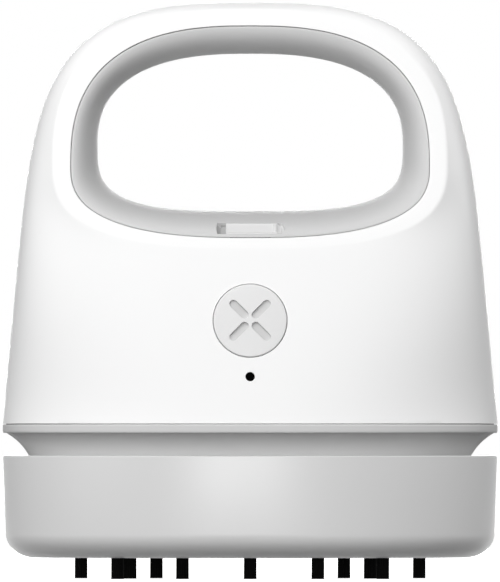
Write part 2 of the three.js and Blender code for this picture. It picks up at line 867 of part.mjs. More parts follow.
function collarScrew(sx, sy) {
  const head = deckLevel - deckThickness - clearance;
  const screw = turned([
    [0, head - screwHeadHeight],
    [screwHeadRadius, head - screwHeadHeight],
    [screwHeadRadius, head],
    [screwShankRadius, head],
    [screwShankRadius, seamLevel],
    [pilotRadius, seamLevel + clearance],
    [pilotRadius, seamLevel + screwEngagement],
    [0, seamLevel + screwEngagement],
  ], bossSteps);
  screw.translate(sx * bossX, sy * bossY, 0);
  return screw;
}

// Dust box: an oval tub with a stepped mouth, an inlet duct, and grooves for the brush strips
const baseWall = 2.2;
const baseTaper = 0.6;
const baseRoundWidth = 6.7;
const baseRoundHeight = 5.4;
const baseRoundSteps = 6;
const baseFloor = 3;
const shoulderThickness = 2.2;
const mouthStepInset = 6.5;
const mouthStepDepth = 1.2;
const mouthInset = 8;
const floorRound = 3;
const inletLength = 44;
const inletWidth = 6;
const ductWall = 1.2;
const ductTop = 14.5;

function dustBox() {
  const bottom = bristleLength;
  const floorTop = bottom + baseFloor;
  const profile = [];
  for (let i = 0; i <= baseRoundSteps; i += 1) {
    const turn = (Math.PI * i) / (2 * baseRoundSteps);
    const inset = baseTaper + baseRoundWidth * (1 - Math.sin(turn));
    profile.push([inset, bottom + baseRoundHeight * (1 - Math.cos(turn))]);
  }
  profile.push([0, baseTop]);
  profile.push([mouthStepInset, baseTop]);
  profile.push([mouthStepInset, baseTop - mouthStepDepth]);
  profile.push([mouthInset, baseTop - mouthStepDepth]);
  profile.push([mouthInset, baseTop - shoulderThickness]);
  profile.push([baseWall, baseTop - shoulderThickness - (mouthInset - baseWall) / 2]);
  profile.push([baseWall + baseTaper, bottom + baseRoundHeight]);
  profile.push([baseWall + baseTaper + floorRound, floorTop]);
  const tub = ovalSweep(profile, planSteps, [bottom, floorTop]);
  const ductLength = inletLength + 2 * ductWall;
  const duct = pill(ductLength, inletWidth + 2 * ductWall, floorTop - overrun, ductTop, slotEndSteps);
  const inlet = pill(inletLength, inletWidth, bottom - overrun, ductTop + overrun, slotEndSteps);
  const grooves = stripPlaces().map((strip) => block(
    [strip.low - clearance, strip.y - stripWidth / 2 - clearance, bottom - overrun],
    [strip.high + clearance, strip.y + stripWidth / 2 + clearance, bottom + stripThickness + clearance],
  ));
  return cutFrom(joinAll(tub, [duct]), [inlet, ...grooves]);
}

// Brush strips: tufts of straight nylon strands fused to a backing that lies in the box's floor
const tuftRadius = 1.38;
const stripWidth = 3.6;
const stripThickness = 1.5;
const stripMargin = 2;
const rowInset = 17.5;
const strandRadius = 0.15;
const strandSides = 3;
const strandsPerTuft = 28;
const strandRoot = 0.5;
const strandTurn = Math.PI * (3 - Math.sqrt(5));
const frontTuftShares = [-0.535, -0.273, 0, 0.273, 0.535];
const rearTuftShares = [-0.685, -0.38, 0.38, 0.685];
const sideTuftShare = 0.485;

function stripPlaces() {
  const rowY = baseDepth / 2 - rowInset;
  const place = (name, y, tuftShares) => {
    const tufts = tuftShares.map((share) => (share * overallWidth) / 2);
    const low = Math.min(...tufts) - stripMargin;
    const high = Math.max(...tufts) + stripMargin;
    return { name, y, tufts, low, high };
  };
  return [
    place('brush_front', -rowY, frontTuftShares),
    place('brush_rear', rowY, rearTuftShares),
    place('brush_left', 0, [-sideTuftShare]),
    place('brush_right', 0, [sideTuftShare]),
  ];
}

function brushStrip(strip) {
  const backing = block(
    [strip.low, strip.y - stripWidth / 2, bristleLength],
    [strip.high, strip.y + stripWidth / 2, bristleLength + stripThickness],
  );
  const strands = [];
  for (const tuftX of strip.tufts) {
    for (let i = 0; i < strandsPerTuft; i += 1) {
      const reach = (tuftRadius - strandRadius) * Math.sqrt((i + 0.5) / strandsPerTuft);
      const x = tuftX + reach * Math.cos(i * strandTurn);
      const y = strip.y + reach * Math.sin(i * strandTurn);
      const strand = prism(strandRadius, strandSides, bristleLength + strandRoot);
      strand.translate(x, y, 0);
      strands.push(strand);
    }
  }
  return joinAll(backing, strands);
}

// Filter cup in the box's mouth, its pleated medium, and the seal round the spigot
const cupWall = 1.5;
const cupDepth = 11;
const cupLedge = 2.4;
const cupFloor = 1;
const pleatCount = 12;
const pleatThickness = 0.6;
const pleatHeight = 4.4;
const sealThickness = 1.8;
const sealHeight = 2;

const cupInset = mouthInset + clearance;
const cupTop = baseTop - clearance / 3;
const cupBottom = baseTop - cupDepth;

function filterFrame() {
  const flange = mouthStepInset + clearance;
  const flangeLow = baseTop - mouthStepDepth + clearance;
  const profile = [
    [flange, cupTop],
    [flange, flangeLow],
    [cupInset, flangeLow],
    [cupInset, cupBottom],
    [cupInset + cupWall + cupLedge, cupBottom],
    [cupInset + cupWall + cupLedge, cupBottom + cupFloor],
    [cupInset + cupWall, cupBottom + cupFloor],
    [cupInset + cupWall, cupTop],
  ];
  const bar = block(
    [-ribThickness / 2, -(baseDepth / 2 - cupInset - cupWall), cupBottom],
    [ribThickness / 2, baseDepth / 2 - cupInset - cupWall, cupBottom + cupFloor],
  );
  return joinAll(ovalSweep(profile, planSteps, null), [bar]);
}

function filterPleats() {
  const inset = cupInset + cupWall + clearance;
  const halfX = overallWidth / 2 - inset;
  const low = cupBottom + cupFloor + clearance;
  const pitch = (2 * halfX) / pleatCount;
  const upper = [];
  const lower = [];
  for (let i = 0; i <= 2 * pleatCount; i += 1) {
    const x = -halfX + (i * pitch) / 2;
    const z = i % 2 === 0 ? low : low + pleatHeight;
    lower.push(new THREE.Vector2(x, z));
    upper.push(new THREE.Vector2(x, z + pleatThickness));
  }
  const shape = new THREE.Shape([...lower, ...upper.reverse()]);
  const depth = baseDepth - 2 * inset;
  const sheet = new THREE.ExtrudeGeometry(shape, { depth, bevelEnabled: false });
  sheet.translate(0, 0, -depth / 2);
  sheet.rotateX(Math.PI / 2);
  const keep = ovalSweep([[inset, low - overrun], [inset, low + pleatHeight + 2 * overrun]], planSteps, [
    low - overrun,
    low + pleatHeight + 2 * overrun,
  ]);
  return geometryOf(solidOf(sheet).intersect(solidOf(keep)));
}

function filterSeal() {
  const inner = spigotInset - clearance;
  const low = baseTop - spigotDrop + clearance;
  return ovalSweep([
    [inner - sealThickness, low],
    [inner, low],
    [inner, low + sealHeight],
    [inner - sealThickness, low + sealHeight],
  ], planSteps, null);
}

// Fan: a housing with side outlets, and an impeller of backward-curved blades under a back plate
const fanHeight = 9.2;
const fanWindowCount = 6;
const fanWindowShare = 0.52;
const fanWindowHeight = 4.6;
const shaftRadius = 1;
const bladeCount = 9;
const bladeHeight = 4.6;
const bladeThickness = 1;
const bladeInnerShare = 0.4;
const bladeSweep = 0.9;
const bladeSteps = 5;
const backPlate = 1.2;
const hubRadius = 4;
const impellerGap = 0.8;

const fanFoot = deckLevel + clearance;
const fanTop = fanFoot + fanHeight;
const fanWindowWidth = fanOuterRadius * fanWindowShare;
const bladeInnerRadius = impellerRadius * bladeInnerShare;

function fanHousing() {
  const inner = fanOuterRadius - fanWall;
  const shaftHole = shaftRadius + 2 * clearance;
  const shell = turned([
    [inner, fanFoot],
    [fanOuterRadius, fanFoot],
    [fanOuterRadius, fanTop],
    [shaftHole, fanTop],
    [shaftHole, fanTop - fanWall],
    [inner, fanTop - fanWall],
    [inner, fanFoot],
  ], roundSteps);
  const windows = [];
  for (let i = 0; i < fanWindowCount; i += 1) {
    const window = block(
      [inner - overrun, -fanWindowWidth / 2, fanFoot + fanWall],
      [fanOuterRadius + overrun, fanWindowWidth / 2, fanFoot + fanWall + fanWindowHeight],
    );
    window.rotateZ((2 * Math.PI * (i + 0.5)) / fanWindowCount);
    windows.push(window);
  }
  return cutFrom(shell, windows);
}

function bladeShape() {
  const front = [];
  const back = [];
  for (let i = 0; i <= bladeSteps; i += 1) {
    const share = i / bladeSteps;
    const radius = bladeInnerRadius + (impellerRadius - clearance - bladeInnerRadius) * share;
    const angle = -bladeSweep * share;
    const halfTurn = bladeThickness / 2 / radius;
    front.push(new THREE.Vector2(radius * Math.cos(angle + halfTurn), radius * Math.sin(angle + halfTurn)));
    back.push(new THREE.Vector2(radius * Math.cos(angle - halfTurn), radius * Math.sin(angle - halfTurn)));
  }
  return new THREE.Shape([...front, ...back.reverse()]);
}

function impeller() {
  const plateTop = fanTop - fanWall - impellerGap;
  const plateLow = plateTop - backPlate;
  const bladeLow = plateLow - bladeHeight;
  const bore = shaftRadius + clearance;
  const plate = turned([
    [bore, bladeLow],
    [hubRadius, bladeLow],
    [hubRadius + backPlate, plateLow],
    [impellerRadius, plateLow],
    [impellerRadius, plateTop],
    [bore, plateTop],
    [bore, bladeLow],
  ], roundSteps);
  const blades = [];
  for (let i = 0; i < bladeCount; i += 1) {
    const depth = bladeHeight + backPlate / 2;
    const blade = new THREE.ExtrudeGeometry(bladeShape(), { depth, bevelEnabled: false });
    blade.translate(0, 0, bladeLow);
    blade.rotateZ((2 * Math.PI * i) / bladeCount);
    blades.push(blade);
  }
  return joinAll(plate, blades);
}

// Motor: rubber foot, can with two bushes, end cap and shaft
const motorBoardGap = 1.75;
const motorLength = 26;
const motorChamfer = 1;
const damperThickness = 1.5;
const damperInnerShare = 0.5;
const bushRadius = 3;
const bushLength = 2.6;
const endCapLength = 2.6;
const shaftOverhang = 1.2;

const damperLow = fanTop + clearance;
const motorLow = damperLow + damperThickness + clearance;
const motorHigh = motorLow + motorLength;
const boardBack = (boardFront + boardThickness) * Math.cos(frontLean) + boardAbove * Math.sin(frontLean);
const motorRadius = -controlOrigin.y - boardBack - motorBoardGap;

function motorDamper() {
  const bore = motorRadius * damperInnerShare;
  return tube(bore, motorRadius, damperLow, damperLow + damperThickness, roundSteps);
}

function motorCan() {
  const pocket = bushRadius + clearance;
  const bore = shaftRadius + clearance;
  const seat = bushLength + clearance;
  return turned([
    [pocket, motorLow],
    [motorRadius - motorChamfer, motorLow],
    [motorRadius, motorLow + motorChamfer],
    [motorRadius, motorHigh],
    [pocket, motorHigh],
    [pocket, motorHigh - seat],
    [bore, motorHigh - seat],
    [bore, motorLow + seat],
    [pocket, motorLow + seat],
    [pocket, motorLow],
  ], roundSteps);
}

function motorBush(low) {
  return tube(shaftRadius + clearance, bushRadius, low, low + bushLength, bossSteps);
}

function motorEndCap() {
  const low = motorHigh + clearance;
  return tube(shaftRadius + clearance, motorRadius - motorChamfer, low, low + endCapLength, roundSteps);
}

function motorShaft() {
  const low = fanTop - fanWall - impellerGap - backPlate - bladeHeight;
  return rod(shaftRadius, low, motorHigh + clearance + endCapLength + shaftOverhang, bossSteps);
}

// Cells, charging board and socket
const cellGroove = 0.4;
const cellGrooveLevel = 2.4;
const cellTipRadius = 2.8;
const cellTipHeight = 0.9;
const socketWall = 0.5;
const socketTongue = 0.7;

function batteryCell(x) {
  const low = deckLevel + clearance;
  const high = low + cellHeight;
  const neck = high - cellGrooveLevel;
  const cell = turned([
    [0, low],
    [cellRadius, low],
    [cellRadius, neck],
    [cellRadius - cellGroove, neck + cellGroove],
    [cellRadius, neck + 2 * cellGroove],
    [cellRadius, high],
    [cellTipRadius, high],
    [cellTipRadius, high + cellTipHeight],
    [0, high + cellTipHeight],
  ], roundSteps);
  cell.translate(x, 0, 0);
  return cell;
}

function chargeBoard() {
  const back = bodyDepthAt(chargeBoardHalfWidth, chargeBoardLevel + boardThickness, wall) - clearance;
  return block(
    [-chargeBoardHalfWidth, back - chargeBoardDepth, chargeBoardLevel],
    [chargeBoardHalfWidth, back, chargeBoardLevel + boardThickness],
  );
}

function usbSocket() {
  const shell = pill(socketWidth, socketHeight, -socketMouth, -socketMouth + socketLength, slotEndSteps);
  const mouth = pill(
    socketWidth - 2 * socketWall,
    socketHeight - 2 * socketWall,
    -socketMouth - overrun,
    -socketMouth + socketLength - socketWall,
    slotEndSteps,
  );
  const tongue = block(
    [-socketWidth / 3, -socketTongue / 2, -socketMouth + socketWall],
    [socketWidth / 3, socketTongue / 2, -socketMouth + socketLength - socketWall / 2],
  );
  const socket = joinAll(cutFrom(shell, [mouth]), [tongue]);
  socket.rotateX(Math.PI / 2);
  socket.translate(0, 0, socketMiddle);
  return socket;
}

// Assembly
const vacuum = new THREE.Group();
vacuum.add(piece('front_shell', frontShell(), whiteGloss));
vacuum.add(piece('rear_shell', rearShell(), whiteGloss));
vacuum.add(piece('grip_ring', gripRing(), greySatin));
vacuum.add(piece('neck_collar', neckCollar(), greySatin));
for (const sx of [-1, 1]) {
  for (const sy of [-1, 1]) {
    const name = `collar_screw_${sy < 0 ? 'front' : 'rear'}_${sx < 0 ? 'left' : 'right'}`;
    vacuum.add(piece(name, collarScrew(sx, sy), steel));
  }
}

vacuum.add(piece('power_button', powerButton(), lightGrey));
vacuum.add(piece('switch_plunger', tactPlunger(), darkPlastic));
vacuum.add(piece('power_switch', tactSwitch(), darkPlastic));
vacuum.add(piece('button_board', buttonBoard(), boardGreen));
vacuum.add(piece('light_pipe', lightPipe(), smokedLens));
vacuum.add(piece('status_light', statusLight(), filterWhite));

vacuum.add(piece('slide_knob', slideKnob(), lightGrey));
vacuum.add(piece('slide_switch', slideSwitch(), darkPlastic));
vacuum.add(piece('slide_board', slideBoard(), boardGreen));

vacuum.add(piece('fan_housing', fanHousing(), darkPlastic));
vacuum.add(piece('impeller', impeller(), lightGrey));
vacuum.add(piece('motor_shaft', motorShaft(), steel));
vacuum.add(piece('motor_damper', motorDamper(), rubberGrey));
vacuum.add(piece('motor_can', motorCan(), steel));
vacuum.add(piece('lower_bush', motorBush(motorLow), bronze));
vacuum.add(piece('upper_bush', motorBush(motorHigh - bushLength), bronze));
vacuum.add(piece('motor_end_cap', motorEndCap(), darkPlastic));

vacuum.add(piece('battery_left', batteryCell(-cellX), cellWrap));
vacuum.add(piece('battery_right', batteryCell(cellX), cellWrap));
vacuum.add(piece('charge_board', chargeBoard(), boardGreen));
vacuum.add(piece('usb_socket', usbSocket(), steel));

vacuum.add(piece('dust_box', dustBox(), greySatin));
vacuum.add(piece('filter_frame', filterFrame(), lightGrey));
vacuum.add(piece('filter_pleats', filterPleats(), filterWhite));
vacuum.add(piece('filter_seal', filterSeal(), rubberGrey));
for (const strip of stripPlaces()) {
  vacuum.add(piece(strip.name, brushStrip(strip), blackNylon));
}

export default vacuum;
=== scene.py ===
import math
from collections import namedtuple
from functools import partial

import bmesh
import bpy
import numpy as np
from mathutils import Matrix, Vector


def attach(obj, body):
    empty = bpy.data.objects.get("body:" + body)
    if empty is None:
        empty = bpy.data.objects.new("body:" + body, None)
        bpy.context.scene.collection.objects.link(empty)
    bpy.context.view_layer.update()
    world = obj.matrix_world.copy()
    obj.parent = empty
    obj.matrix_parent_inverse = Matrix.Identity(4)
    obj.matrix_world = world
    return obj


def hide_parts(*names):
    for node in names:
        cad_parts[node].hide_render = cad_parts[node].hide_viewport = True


# A desktop mini vacuum cleaner: a white moulded body with a handle loop, on a grey dust box with black tufts.
# Shapes are worked out in millimetres and turned to metres when their mesh is made.

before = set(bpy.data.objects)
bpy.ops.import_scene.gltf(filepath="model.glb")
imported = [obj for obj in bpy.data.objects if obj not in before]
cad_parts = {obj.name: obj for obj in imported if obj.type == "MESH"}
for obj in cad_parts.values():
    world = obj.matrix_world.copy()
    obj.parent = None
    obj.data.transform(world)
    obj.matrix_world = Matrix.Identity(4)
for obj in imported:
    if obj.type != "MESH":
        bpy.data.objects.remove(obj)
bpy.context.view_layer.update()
scene = bpy.context.scene
MM = 0.001

# Sizes and levels of the body
OVERALL_WIDTH = 110
BASE_DEPTH = 59
SEAM_STEP = 0.6
SEAM_DEPTH = BASE_DEPTH - 2 * SEAM_STEP
BRISTLE_LENGTH = 4.7
BASE_TOP = 27.4
LIP_BOTTOM = 32.4
SEAM_LEVEL = 34.4
SEAM_LIFT = 0.13
BODY_HEIGHT = 93.6
WALL = 2
BOARD_THICKNESS = 1.2
CLEARANCE = 0.3
FINE_GAP = 0.12
OVERRUN = 1

# How the skin leans and crowns. A crown has a power for its top and one for its shoulders.
PLAN_POWER = 2.5
PLAN_POWER_GAIN = 2.1
PLAN_POWER_RISE = 48
SIDE_LEAN_SHARE = 0.0926
FRONT_LEAN_SHARE = 0.14
WIDTH_CROWN = (6.75, 3)
DEPTH_CROWN = (4, 4.2)

# Outlines of the handle: half width, top, bottom, widest level, and the power of the upper and lower half
Outline = namedtuple("Outline", "half_width top bottom waist upper_power lower_power")
OPENING = Outline(33.9, 116.7, 81.7, 96, 2.55, 3.3)
GRIP = Outline(39.9, 122.9, 75.5, 91.4, 2.6, 2.6)
GRIP_TRIM = 0.2
RIM = Outline(43.7, 126.6, 73.3, 92.9, 2.5, 2.9)
RIM_DEPTH_BELOW = SEAM_DEPTH / 2 - 5.7
RIM_DEPTH_ABOVE = SEAM_DEPTH / 2 - 20.3
RIM_LEAN = (RIM_DEPTH_BELOW - RIM_DEPTH_ABOVE) / (RIM.top - RIM.bottom)
RIM_WALL = WALL * math.hypot(1, RIM_LEAN)


# Materials

PLASTIC_IOR = 1.5
FLOW_SHADE_MM = 38
HANDLED_PATCH_MM = 9
SKIN_ROUGHNESS = 0.28


def srgb(code):
    """Linear RGBA of an sRGB hex value."""
    shares = [int(code[i:i + 2], 16) / 255 for i in (0, 2, 4)]
    return (*[s / 12.92 if s <= 0.04045 else ((s + 0.055) / 1.055) ** 2.4 for s in shares], 1)


def add_node(tree, kind, inputs=None, **settings):
    """Adds a node with its settings, and sets or links its inputs."""
    node = tree.nodes.new(kind)
    for name, value in settings.items():
        setattr(node, name, value)
    for socket, value in (inputs or {}).items():
        if isinstance(value, bpy.types.NodeSocket):
            tree.links.new(value, node.inputs[socket])
        else:
            node.inputs[socket].default_value = value
    return node


def new_material(name):
    """An empty material, and the function that adds nodes to it."""
    material = bpy.data.materials.new(name)
    material.use_nodes = True
    material.node_tree.nodes.clear()
    return material, partial(add_node, material.node_tree)


def material_maker(build):
    """Turns a function that builds a shader into one that makes the whole material, under a name."""
    def make(name, *values, **named):
        material, add = new_material(name)
        place = add("ShaderNodeTexCoord").outputs["Object"]
        shader = build(add, place, *values, **named)
        add("ShaderNodeOutputMaterial", {"Surface": shader.outputs["BSDF"]})
        return material
    return make


def per_metre(size_mm):
    """Texture scale that gives features of that size on coordinates in metres."""
    return 1 / (size_mm * MM)


@material_maker
def moulded_plastic(add, place, colour, shade, roughness, gloss, grain_mm, relief_mm, skin=0.0):
    """Moulded plastic: a flow shade, an uneven gloss, a smoother skin, and a grain coarse enough to show."""
    flow = add("ShaderNodeTexNoise", {
        "Vector": place, "Scale": per_metre(FLOW_SHADE_MM), "Detail": 2.0, "Roughness": 0.45})
    tint = add("ShaderNodeMix", {
        "Factor": flow.outputs["Fac"], "A": srgb(shade), "B": srgb(colour)}, data_type="RGBA")
    handled = add("ShaderNodeTexNoise", {
        "Vector": place, "Scale": per_metre(HANDLED_PATCH_MM), "Detail": 3.0, "Roughness": 0.6})
    dull = add("ShaderNodeMapRange", {
        "Value": handled.outputs["Fac"], "From Min": 0.3, "From Max": 0.7,
        "To Min": roughness - 0.03, "To Max": roughness + 0.04})
    grain = add("ShaderNodeTexNoise", {
        "Vector": place, "Scale": per_metre(grain_mm), "Detail": 2.0, "Roughness": 0.5})
    relief = add("ShaderNodeBump", {
        "Height": grain.outputs["Fac"], "Distance": relief_mm * MM, "Strength": 1.0})
    return add("ShaderNodeBsdfPrincipled", {
        "Base Color": tint.outputs["Result"], "Roughness": dull.outputs["Result"],
        "Normal": relief.outputs["Normal"], "IOR": PLASTIC_IOR, "Specular IOR Level": gloss,
        "Coat Weight": skin, "Coat Roughness": SKIN_ROUGHNESS})


@material_maker
def plated_metal(add, place, colour, shade, roughness, grain_mm):
    """Drawn and plated metal: fine lines round the part and a slightly uneven plating."""
    along, across = per_metre(grain_mm * 12), per_metre(grain_mm)
    drawn = add("ShaderNodeMapping", {"Vector": place, "Scale": (along, along, across)})
    lines = add("ShaderNodeTexNoise", {"Vector": drawn.outputs["Vector"], "Scale": 1.0, "Detail": 2.0})
    tint = add("ShaderNodeMix", {
        "Factor": lines.outputs["Fac"], "A": srgb(shade), "B": srgb(colour)}, data_type="RGBA")
    dull = add("ShaderNodeMapRange", {
        "Value": lines.outputs["Fac"], "To Min": roughness - 0.06, "To Max": roughness + 0.08})
    return add("ShaderNodeBsdfPrincipled", {
        "Base Color": tint.outputs["Result"], "Roughness": dull.outputs["Result"], "Metallic": 1.0})


@material_maker
def fibre_sheet(add, place, colour, shade, fibre_mm, relief_mm):
    """Needled non-woven sheet: matted fibres that scatter light and hold a little shade between them."""
    mat = add("ShaderNodeTexNoise", {
        "Vector": place, "Scale": per_metre(fibre_mm), "Detail": 6.0, "Roughness": 0.7,
        "Distortion": 1.5})
    tint = add("ShaderNodeMix", {
        "Factor": mat.outputs["Fac"], "A": srgb(shade), "B": srgb(colour)}, data_type="RGBA")
    relief = add("ShaderNodeBump", {
        "Height": mat.outputs["Fac"], "Distance": relief_mm * MM, "Strength": 0.6})
    return add("ShaderNodeBsdfPrincipled", {
        "Base Color": tint.outputs["Result"], "Normal": relief.outputs["Normal"],
        "Roughness": 0.9, "Specular IOR Level": 0.2, "Sheen Weight": 0.15})


@material_maker
def printed_board(add, place, track_mm):
    """Glass-fibre board under green solder mask: paler lines where copper tracks show through the mask."""
    tracks = add("ShaderNodeTexBrick", {
        "Vector": place, "Scale": per_metre(track_mm), "Color1": srgb("1f5a3a"),
        "Color2": srgb("24633f"), "Mortar": srgb("3a7a50"), "Mortar Size": 0.02})
    return add("ShaderNodeBsdfPrincipled", {
        "Base Color": tracks.outputs["Color"], "Roughness": 0.35, "IOR": PLASTIC_IOR})


@material_maker
def nylon_filament(add, place, strand_mm):
    """Extruded nylon filament: near black, with a painted sheen that changes from strand to strand."""
    strands = add("ShaderNodeTexVoronoi", {
        "Vector": place, "Scale": per_metre(strand_mm)}, voronoi_dimensions="2D")
    tint = add("ShaderNodeMix", {
        "Factor": strands.outputs["Distance"], "A": srgb("020202"), "B": srgb("070707")},
        data_type="RGBA")
    return add("ShaderNodeBsdfPrincipled", {
        "Base Color": tint.outputs["Result"], "Roughness": 0.6, "IOR": 1.53,
        "Specular IOR Level": 0.04})


# Injection-moulded ABS from a polished mould: near white, softly glossy, with wide blurred highlights.
white_abs = moulded_plastic(
    "white moulded ABS", "fafafa", "f7f7f7", roughness=0.4, gloss=0.12, grain_mm=0.9, relief_mm=0.0012)
# The same ABS from a fine spark-eroded mould: light grey and satin, so its shading turns slowly.
grey_abs = moulded_plastic(
    "grey satin ABS", "d5d5d5", "d1d1d1", roughness=0.5, gloss=0.15, grain_mm=0.35, relief_mm=0.002,
    skin=0.5)
# The same grey with less gloss for the handle's ring and the neck, which sets them off from the white.
mid_grey_abs = moulded_plastic(
    "mid grey satin ABS", "d4d4d4", "d0d0d0", roughness=0.6, gloss=0.1, grain_mm=0.35, relief_mm=0.003)
# Polished pale grey ABS of the button, the impeller and the filter's frame: glossier than the satin greys.
pale_abs = moulded_plastic(
    "pale grey ABS", "e3e3e3", "dfdfdf", roughness=0.38, gloss=0.35, grain_mm=0.5, relief_mm=0.0015)
# Lighter ABS of the slide: smooth, and it stands out from the satin ring round it.
off_white_abs = moulded_plastic(
    "off-white ABS", "e5e5e5", "e1e1e1", roughness=0.42, gloss=0.3, grain_mm=0.5, relief_mm=0.0015)
# The pale grey ABS where the mould is etched, on the floors of the button's recesses: dull, and a little
# darker as painted shade.
etched_pale_abs_with_painted_shade = moulded_plastic(
    "etched pale grey ABS", "cfcfcf", "c8c8c8", roughness=0.7, gloss=0.1, grain_mm=0.3, relief_mm=0.006)
# The ring's and neck's grey ABS where the mould is etched, in the deep end of the slide's slot and on the
# seam groove's floor: dull, and a darker grey that is painted shade.
etched_grey_abs_with_painted_shade = moulded_plastic(
    "etched grey ABS", "b8b8b8", "b2b2b2", roughness=0.7, gloss=0.1, grain_mm=0.3, relief_mm=0.006)
# Glass-filled nylon of the fan housing, the switches and the brush strips' backing: charcoal, rough skin.
dark_nylon = moulded_plastic(
    "charcoal filled nylon", "2d2d2f", "242426", roughness=0.55, gloss=0.4, grain_mm=0.3, relief_mm=0.01)
# Moulded thermoplastic rubber of the seal and the motor's foot: dull dark grey with no highlight.
seal_rubber = moulded_plastic(
    "dark moulded rubber", "4c4c4e", "434345", roughness=0.8, gloss=0.25, grain_mm=0.4, relief_mm=0.01)
# Smoked polycarbonate of the light pipe: near black while the light behind it is off.
smoked_polycarbonate = moulded_plastic(
    "smoked polycarbonate", "050505", "030303", roughness=0.3, gloss=0.003, grain_mm=4.0,
    relief_mm=0.0001)
# Shrink wrap round the cells: plain blue film, drawn tight and shiny.
shrink_wrap = moulded_plastic(
    "blue shrink wrap", "3f6fb0", "3a68a6", roughness=0.3, gloss=0.5, grain_mm=1.5, relief_mm=0.004)
# Clear epoxy of the light-emitting diode: pale and glossy.
diode_resin = moulded_plastic(
    "cast diode resin", "f1efe8", "e6e2d4", roughness=0.2, gloss=0.5, grain_mm=1.0, relief_mm=0.0005)
# Deep-drawn steel with nickel plating: the motor can, the screws, the shaft and the charging socket.
nickel_steel = plated_metal("nickel-plated steel", "c3c6ca", "a9acb0", roughness=0.32, grain_mm=0.15)
# Sintered bronze of the bushes: warm, porous and oil-dark.
sintered_bronze = plated_metal("sintered bronze", "a9824c", "8a683a", roughness=0.45, grain_mm=0.2)
# Pleated filter medium: off-white matted fibre, drawn coarser than the real fibre so that it shows.
filter_medium = fibre_sheet("non-woven filter medium", "f1efe8", "d9d6cb", fibre_mm=0.4, relief_mm=0.08)
# Boards under green mask: dark green and smooth.
solder_mask = printed_board("green solder mask", track_mm=4)
# Bristles, whose painted sheen is drawn coarser than a strand so that it shows: black, with hardly any gloss.
black_nylon = nylon_filament("black nylon filament", strand_mm=0.35)


# Mesh making: where shading breaks, what counts as one point, and the flat on a turned piece's axis

SHARP_DEGREES = 32
MERGE_METRES = 1e-7
TURNED_TIP = 0.01


def outward(mesh):
    """Merges doubled points and turns every face outward."""
    cage = bmesh.new()
    cage.from_mesh(mesh)
    bmesh.ops.remove_doubles(cage, verts=cage.verts, dist=MERGE_METRES)
    bmesh.ops.recalc_face_normals(cage, faces=cage.faces)
    cage.to_mesh(mesh)
    cage.free()


def mesh_object(name, points, faces):
    mesh = bpy.data.meshes.new(name)
    mesh.from_pydata((np.asarray(points) * MM).tolist(), [], faces)
    outward(mesh)
    piece = bpy.data.objects.new(name, mesh)
    scene.collection.objects.link(piece)
    return piece


def lofted(name, rings, closed=False):
    """Joins rings of equal length. A closed loft meets its first ring again, an open one is capped."""
    count, length = len(rings), len(rings[0])
    grid = np.arange(count * length).reshape(count, length)
    below = grid if closed else grid[:-1]
    above = np.roll(grid, -1, axis=0) if closed else grid[1:]
    quads = np.stack([below, np.roll(below, -1, 1), np.roll(above, -1, 1), above], axis=-1)
    faces = quads.reshape(-1, 4).tolist()
    if not closed:
        faces += [grid[0].tolist()[::-1], grid[-1].tolist()]
    return mesh_object(name, np.concatenate(rings), faces)


def curve_between(start, corner, end, steps):
    """Points or rings on the curve that leaves the start and meets the end along the corner's two sides."""
    shares = np.linspace(0, 1, steps + 1)
    return [(1 - t) ** 2 * start + 2 * t * (1 - t) * corner + t ** 2 * end for t in shares]


def soften(outline, reaches, steps=5):
    """Rounds each corner of an open outline with a curve that reaches that far along both of its sides."""
    outline = [np.array(p, float) for p in outline]
    path = [outline[0]]
    for before, corner, after, reach in zip(outline, outline[1:], outline[2:], reaches):
        if reach:
            start = corner + (before - corner) * min(reach / np.linalg.norm(before - corner), 0.5)
            end = corner + (after - corner) * min(reach / np.linalg.norm(after - corner), 0.5)
            path += curve_between(start, corner, end, steps)
        else:
            path.append(corner)
    path.append(outline[-1])
    return path


def squared(wave):
    """A sine or cosine bent so that it draws the oval plan."""
    return np.sign(wave) * np.abs(wave) ** (2 / PLAN_POWER)


def oval_ring(inset, level, steps=256):
    angle = np.arange(steps) * 2 * np.pi / steps
    x = (OVERALL_WIDTH / 2 - inset) * squared(np.cos(angle))
    y = (BASE_DEPTH / 2 - inset) * squared(np.sin(angle))
    return np.column_stack([x, y, np.full(steps, float(level))])


def oval_sweep(name, profile):
    """Sweeps a profile of insets and levels round the oval plan."""
    return lofted(name, [oval_ring(inset, level) for inset, level in profile])


def turned(name, profile, steps=96, closed=False):
    """Revolves a profile of radii and heights about Z. An open profile is capped at both ends."""
    angle = np.arange(steps) * 2 * np.pi / steps
    circle = np.column_stack([np.cos(angle), np.sin(angle)])
    rings = [np.column_stack([r * circle, np.full(steps, float(h))]) for r, h in profile]
    return lofted(name, rings, closed)


def pill_stack(name, length, width, levels, steps=20):
    """Stacks outlines with round ends, each grown by an amount at a height, their long side along X."""
    turn = np.linspace(-np.pi / 2, np.pi / 2, steps)
    reach = (length - width) / 2
    rings = []
    for grow, height in levels:
        radius = width / 2 + grow
        right = np.column_stack([reach + radius * np.cos(turn), radius * np.sin(turn)])
        outline = np.vstack([right, -right])
        rings.append(np.column_stack([outline, np.full(len(outline), float(height))]))
    return lofted(name, rings)


def block(name, low, high, rise=0):
    """A rectangular block. Its underside climbs by the rise from left to right."""
    corners = [(x, y, z) for x, climb in ((low[0], 0), (high[0], rise)) for y in (low[1], high[1])
               for z in (low[2] + climb, high[2])]
    faces = [(0, 1, 3, 2), (4, 6, 7, 5), (0, 4, 5, 1), (2, 3, 7, 6), (0, 2, 6, 4), (1, 5, 7, 3)]
    return mesh_object(name, corners, faces)


def moved(piece, matrix):
    piece.data.transform(matrix)
    return piece


def shift(x, y, z):
    return Matrix.Translation(Vector((x, y, z)) * MM)


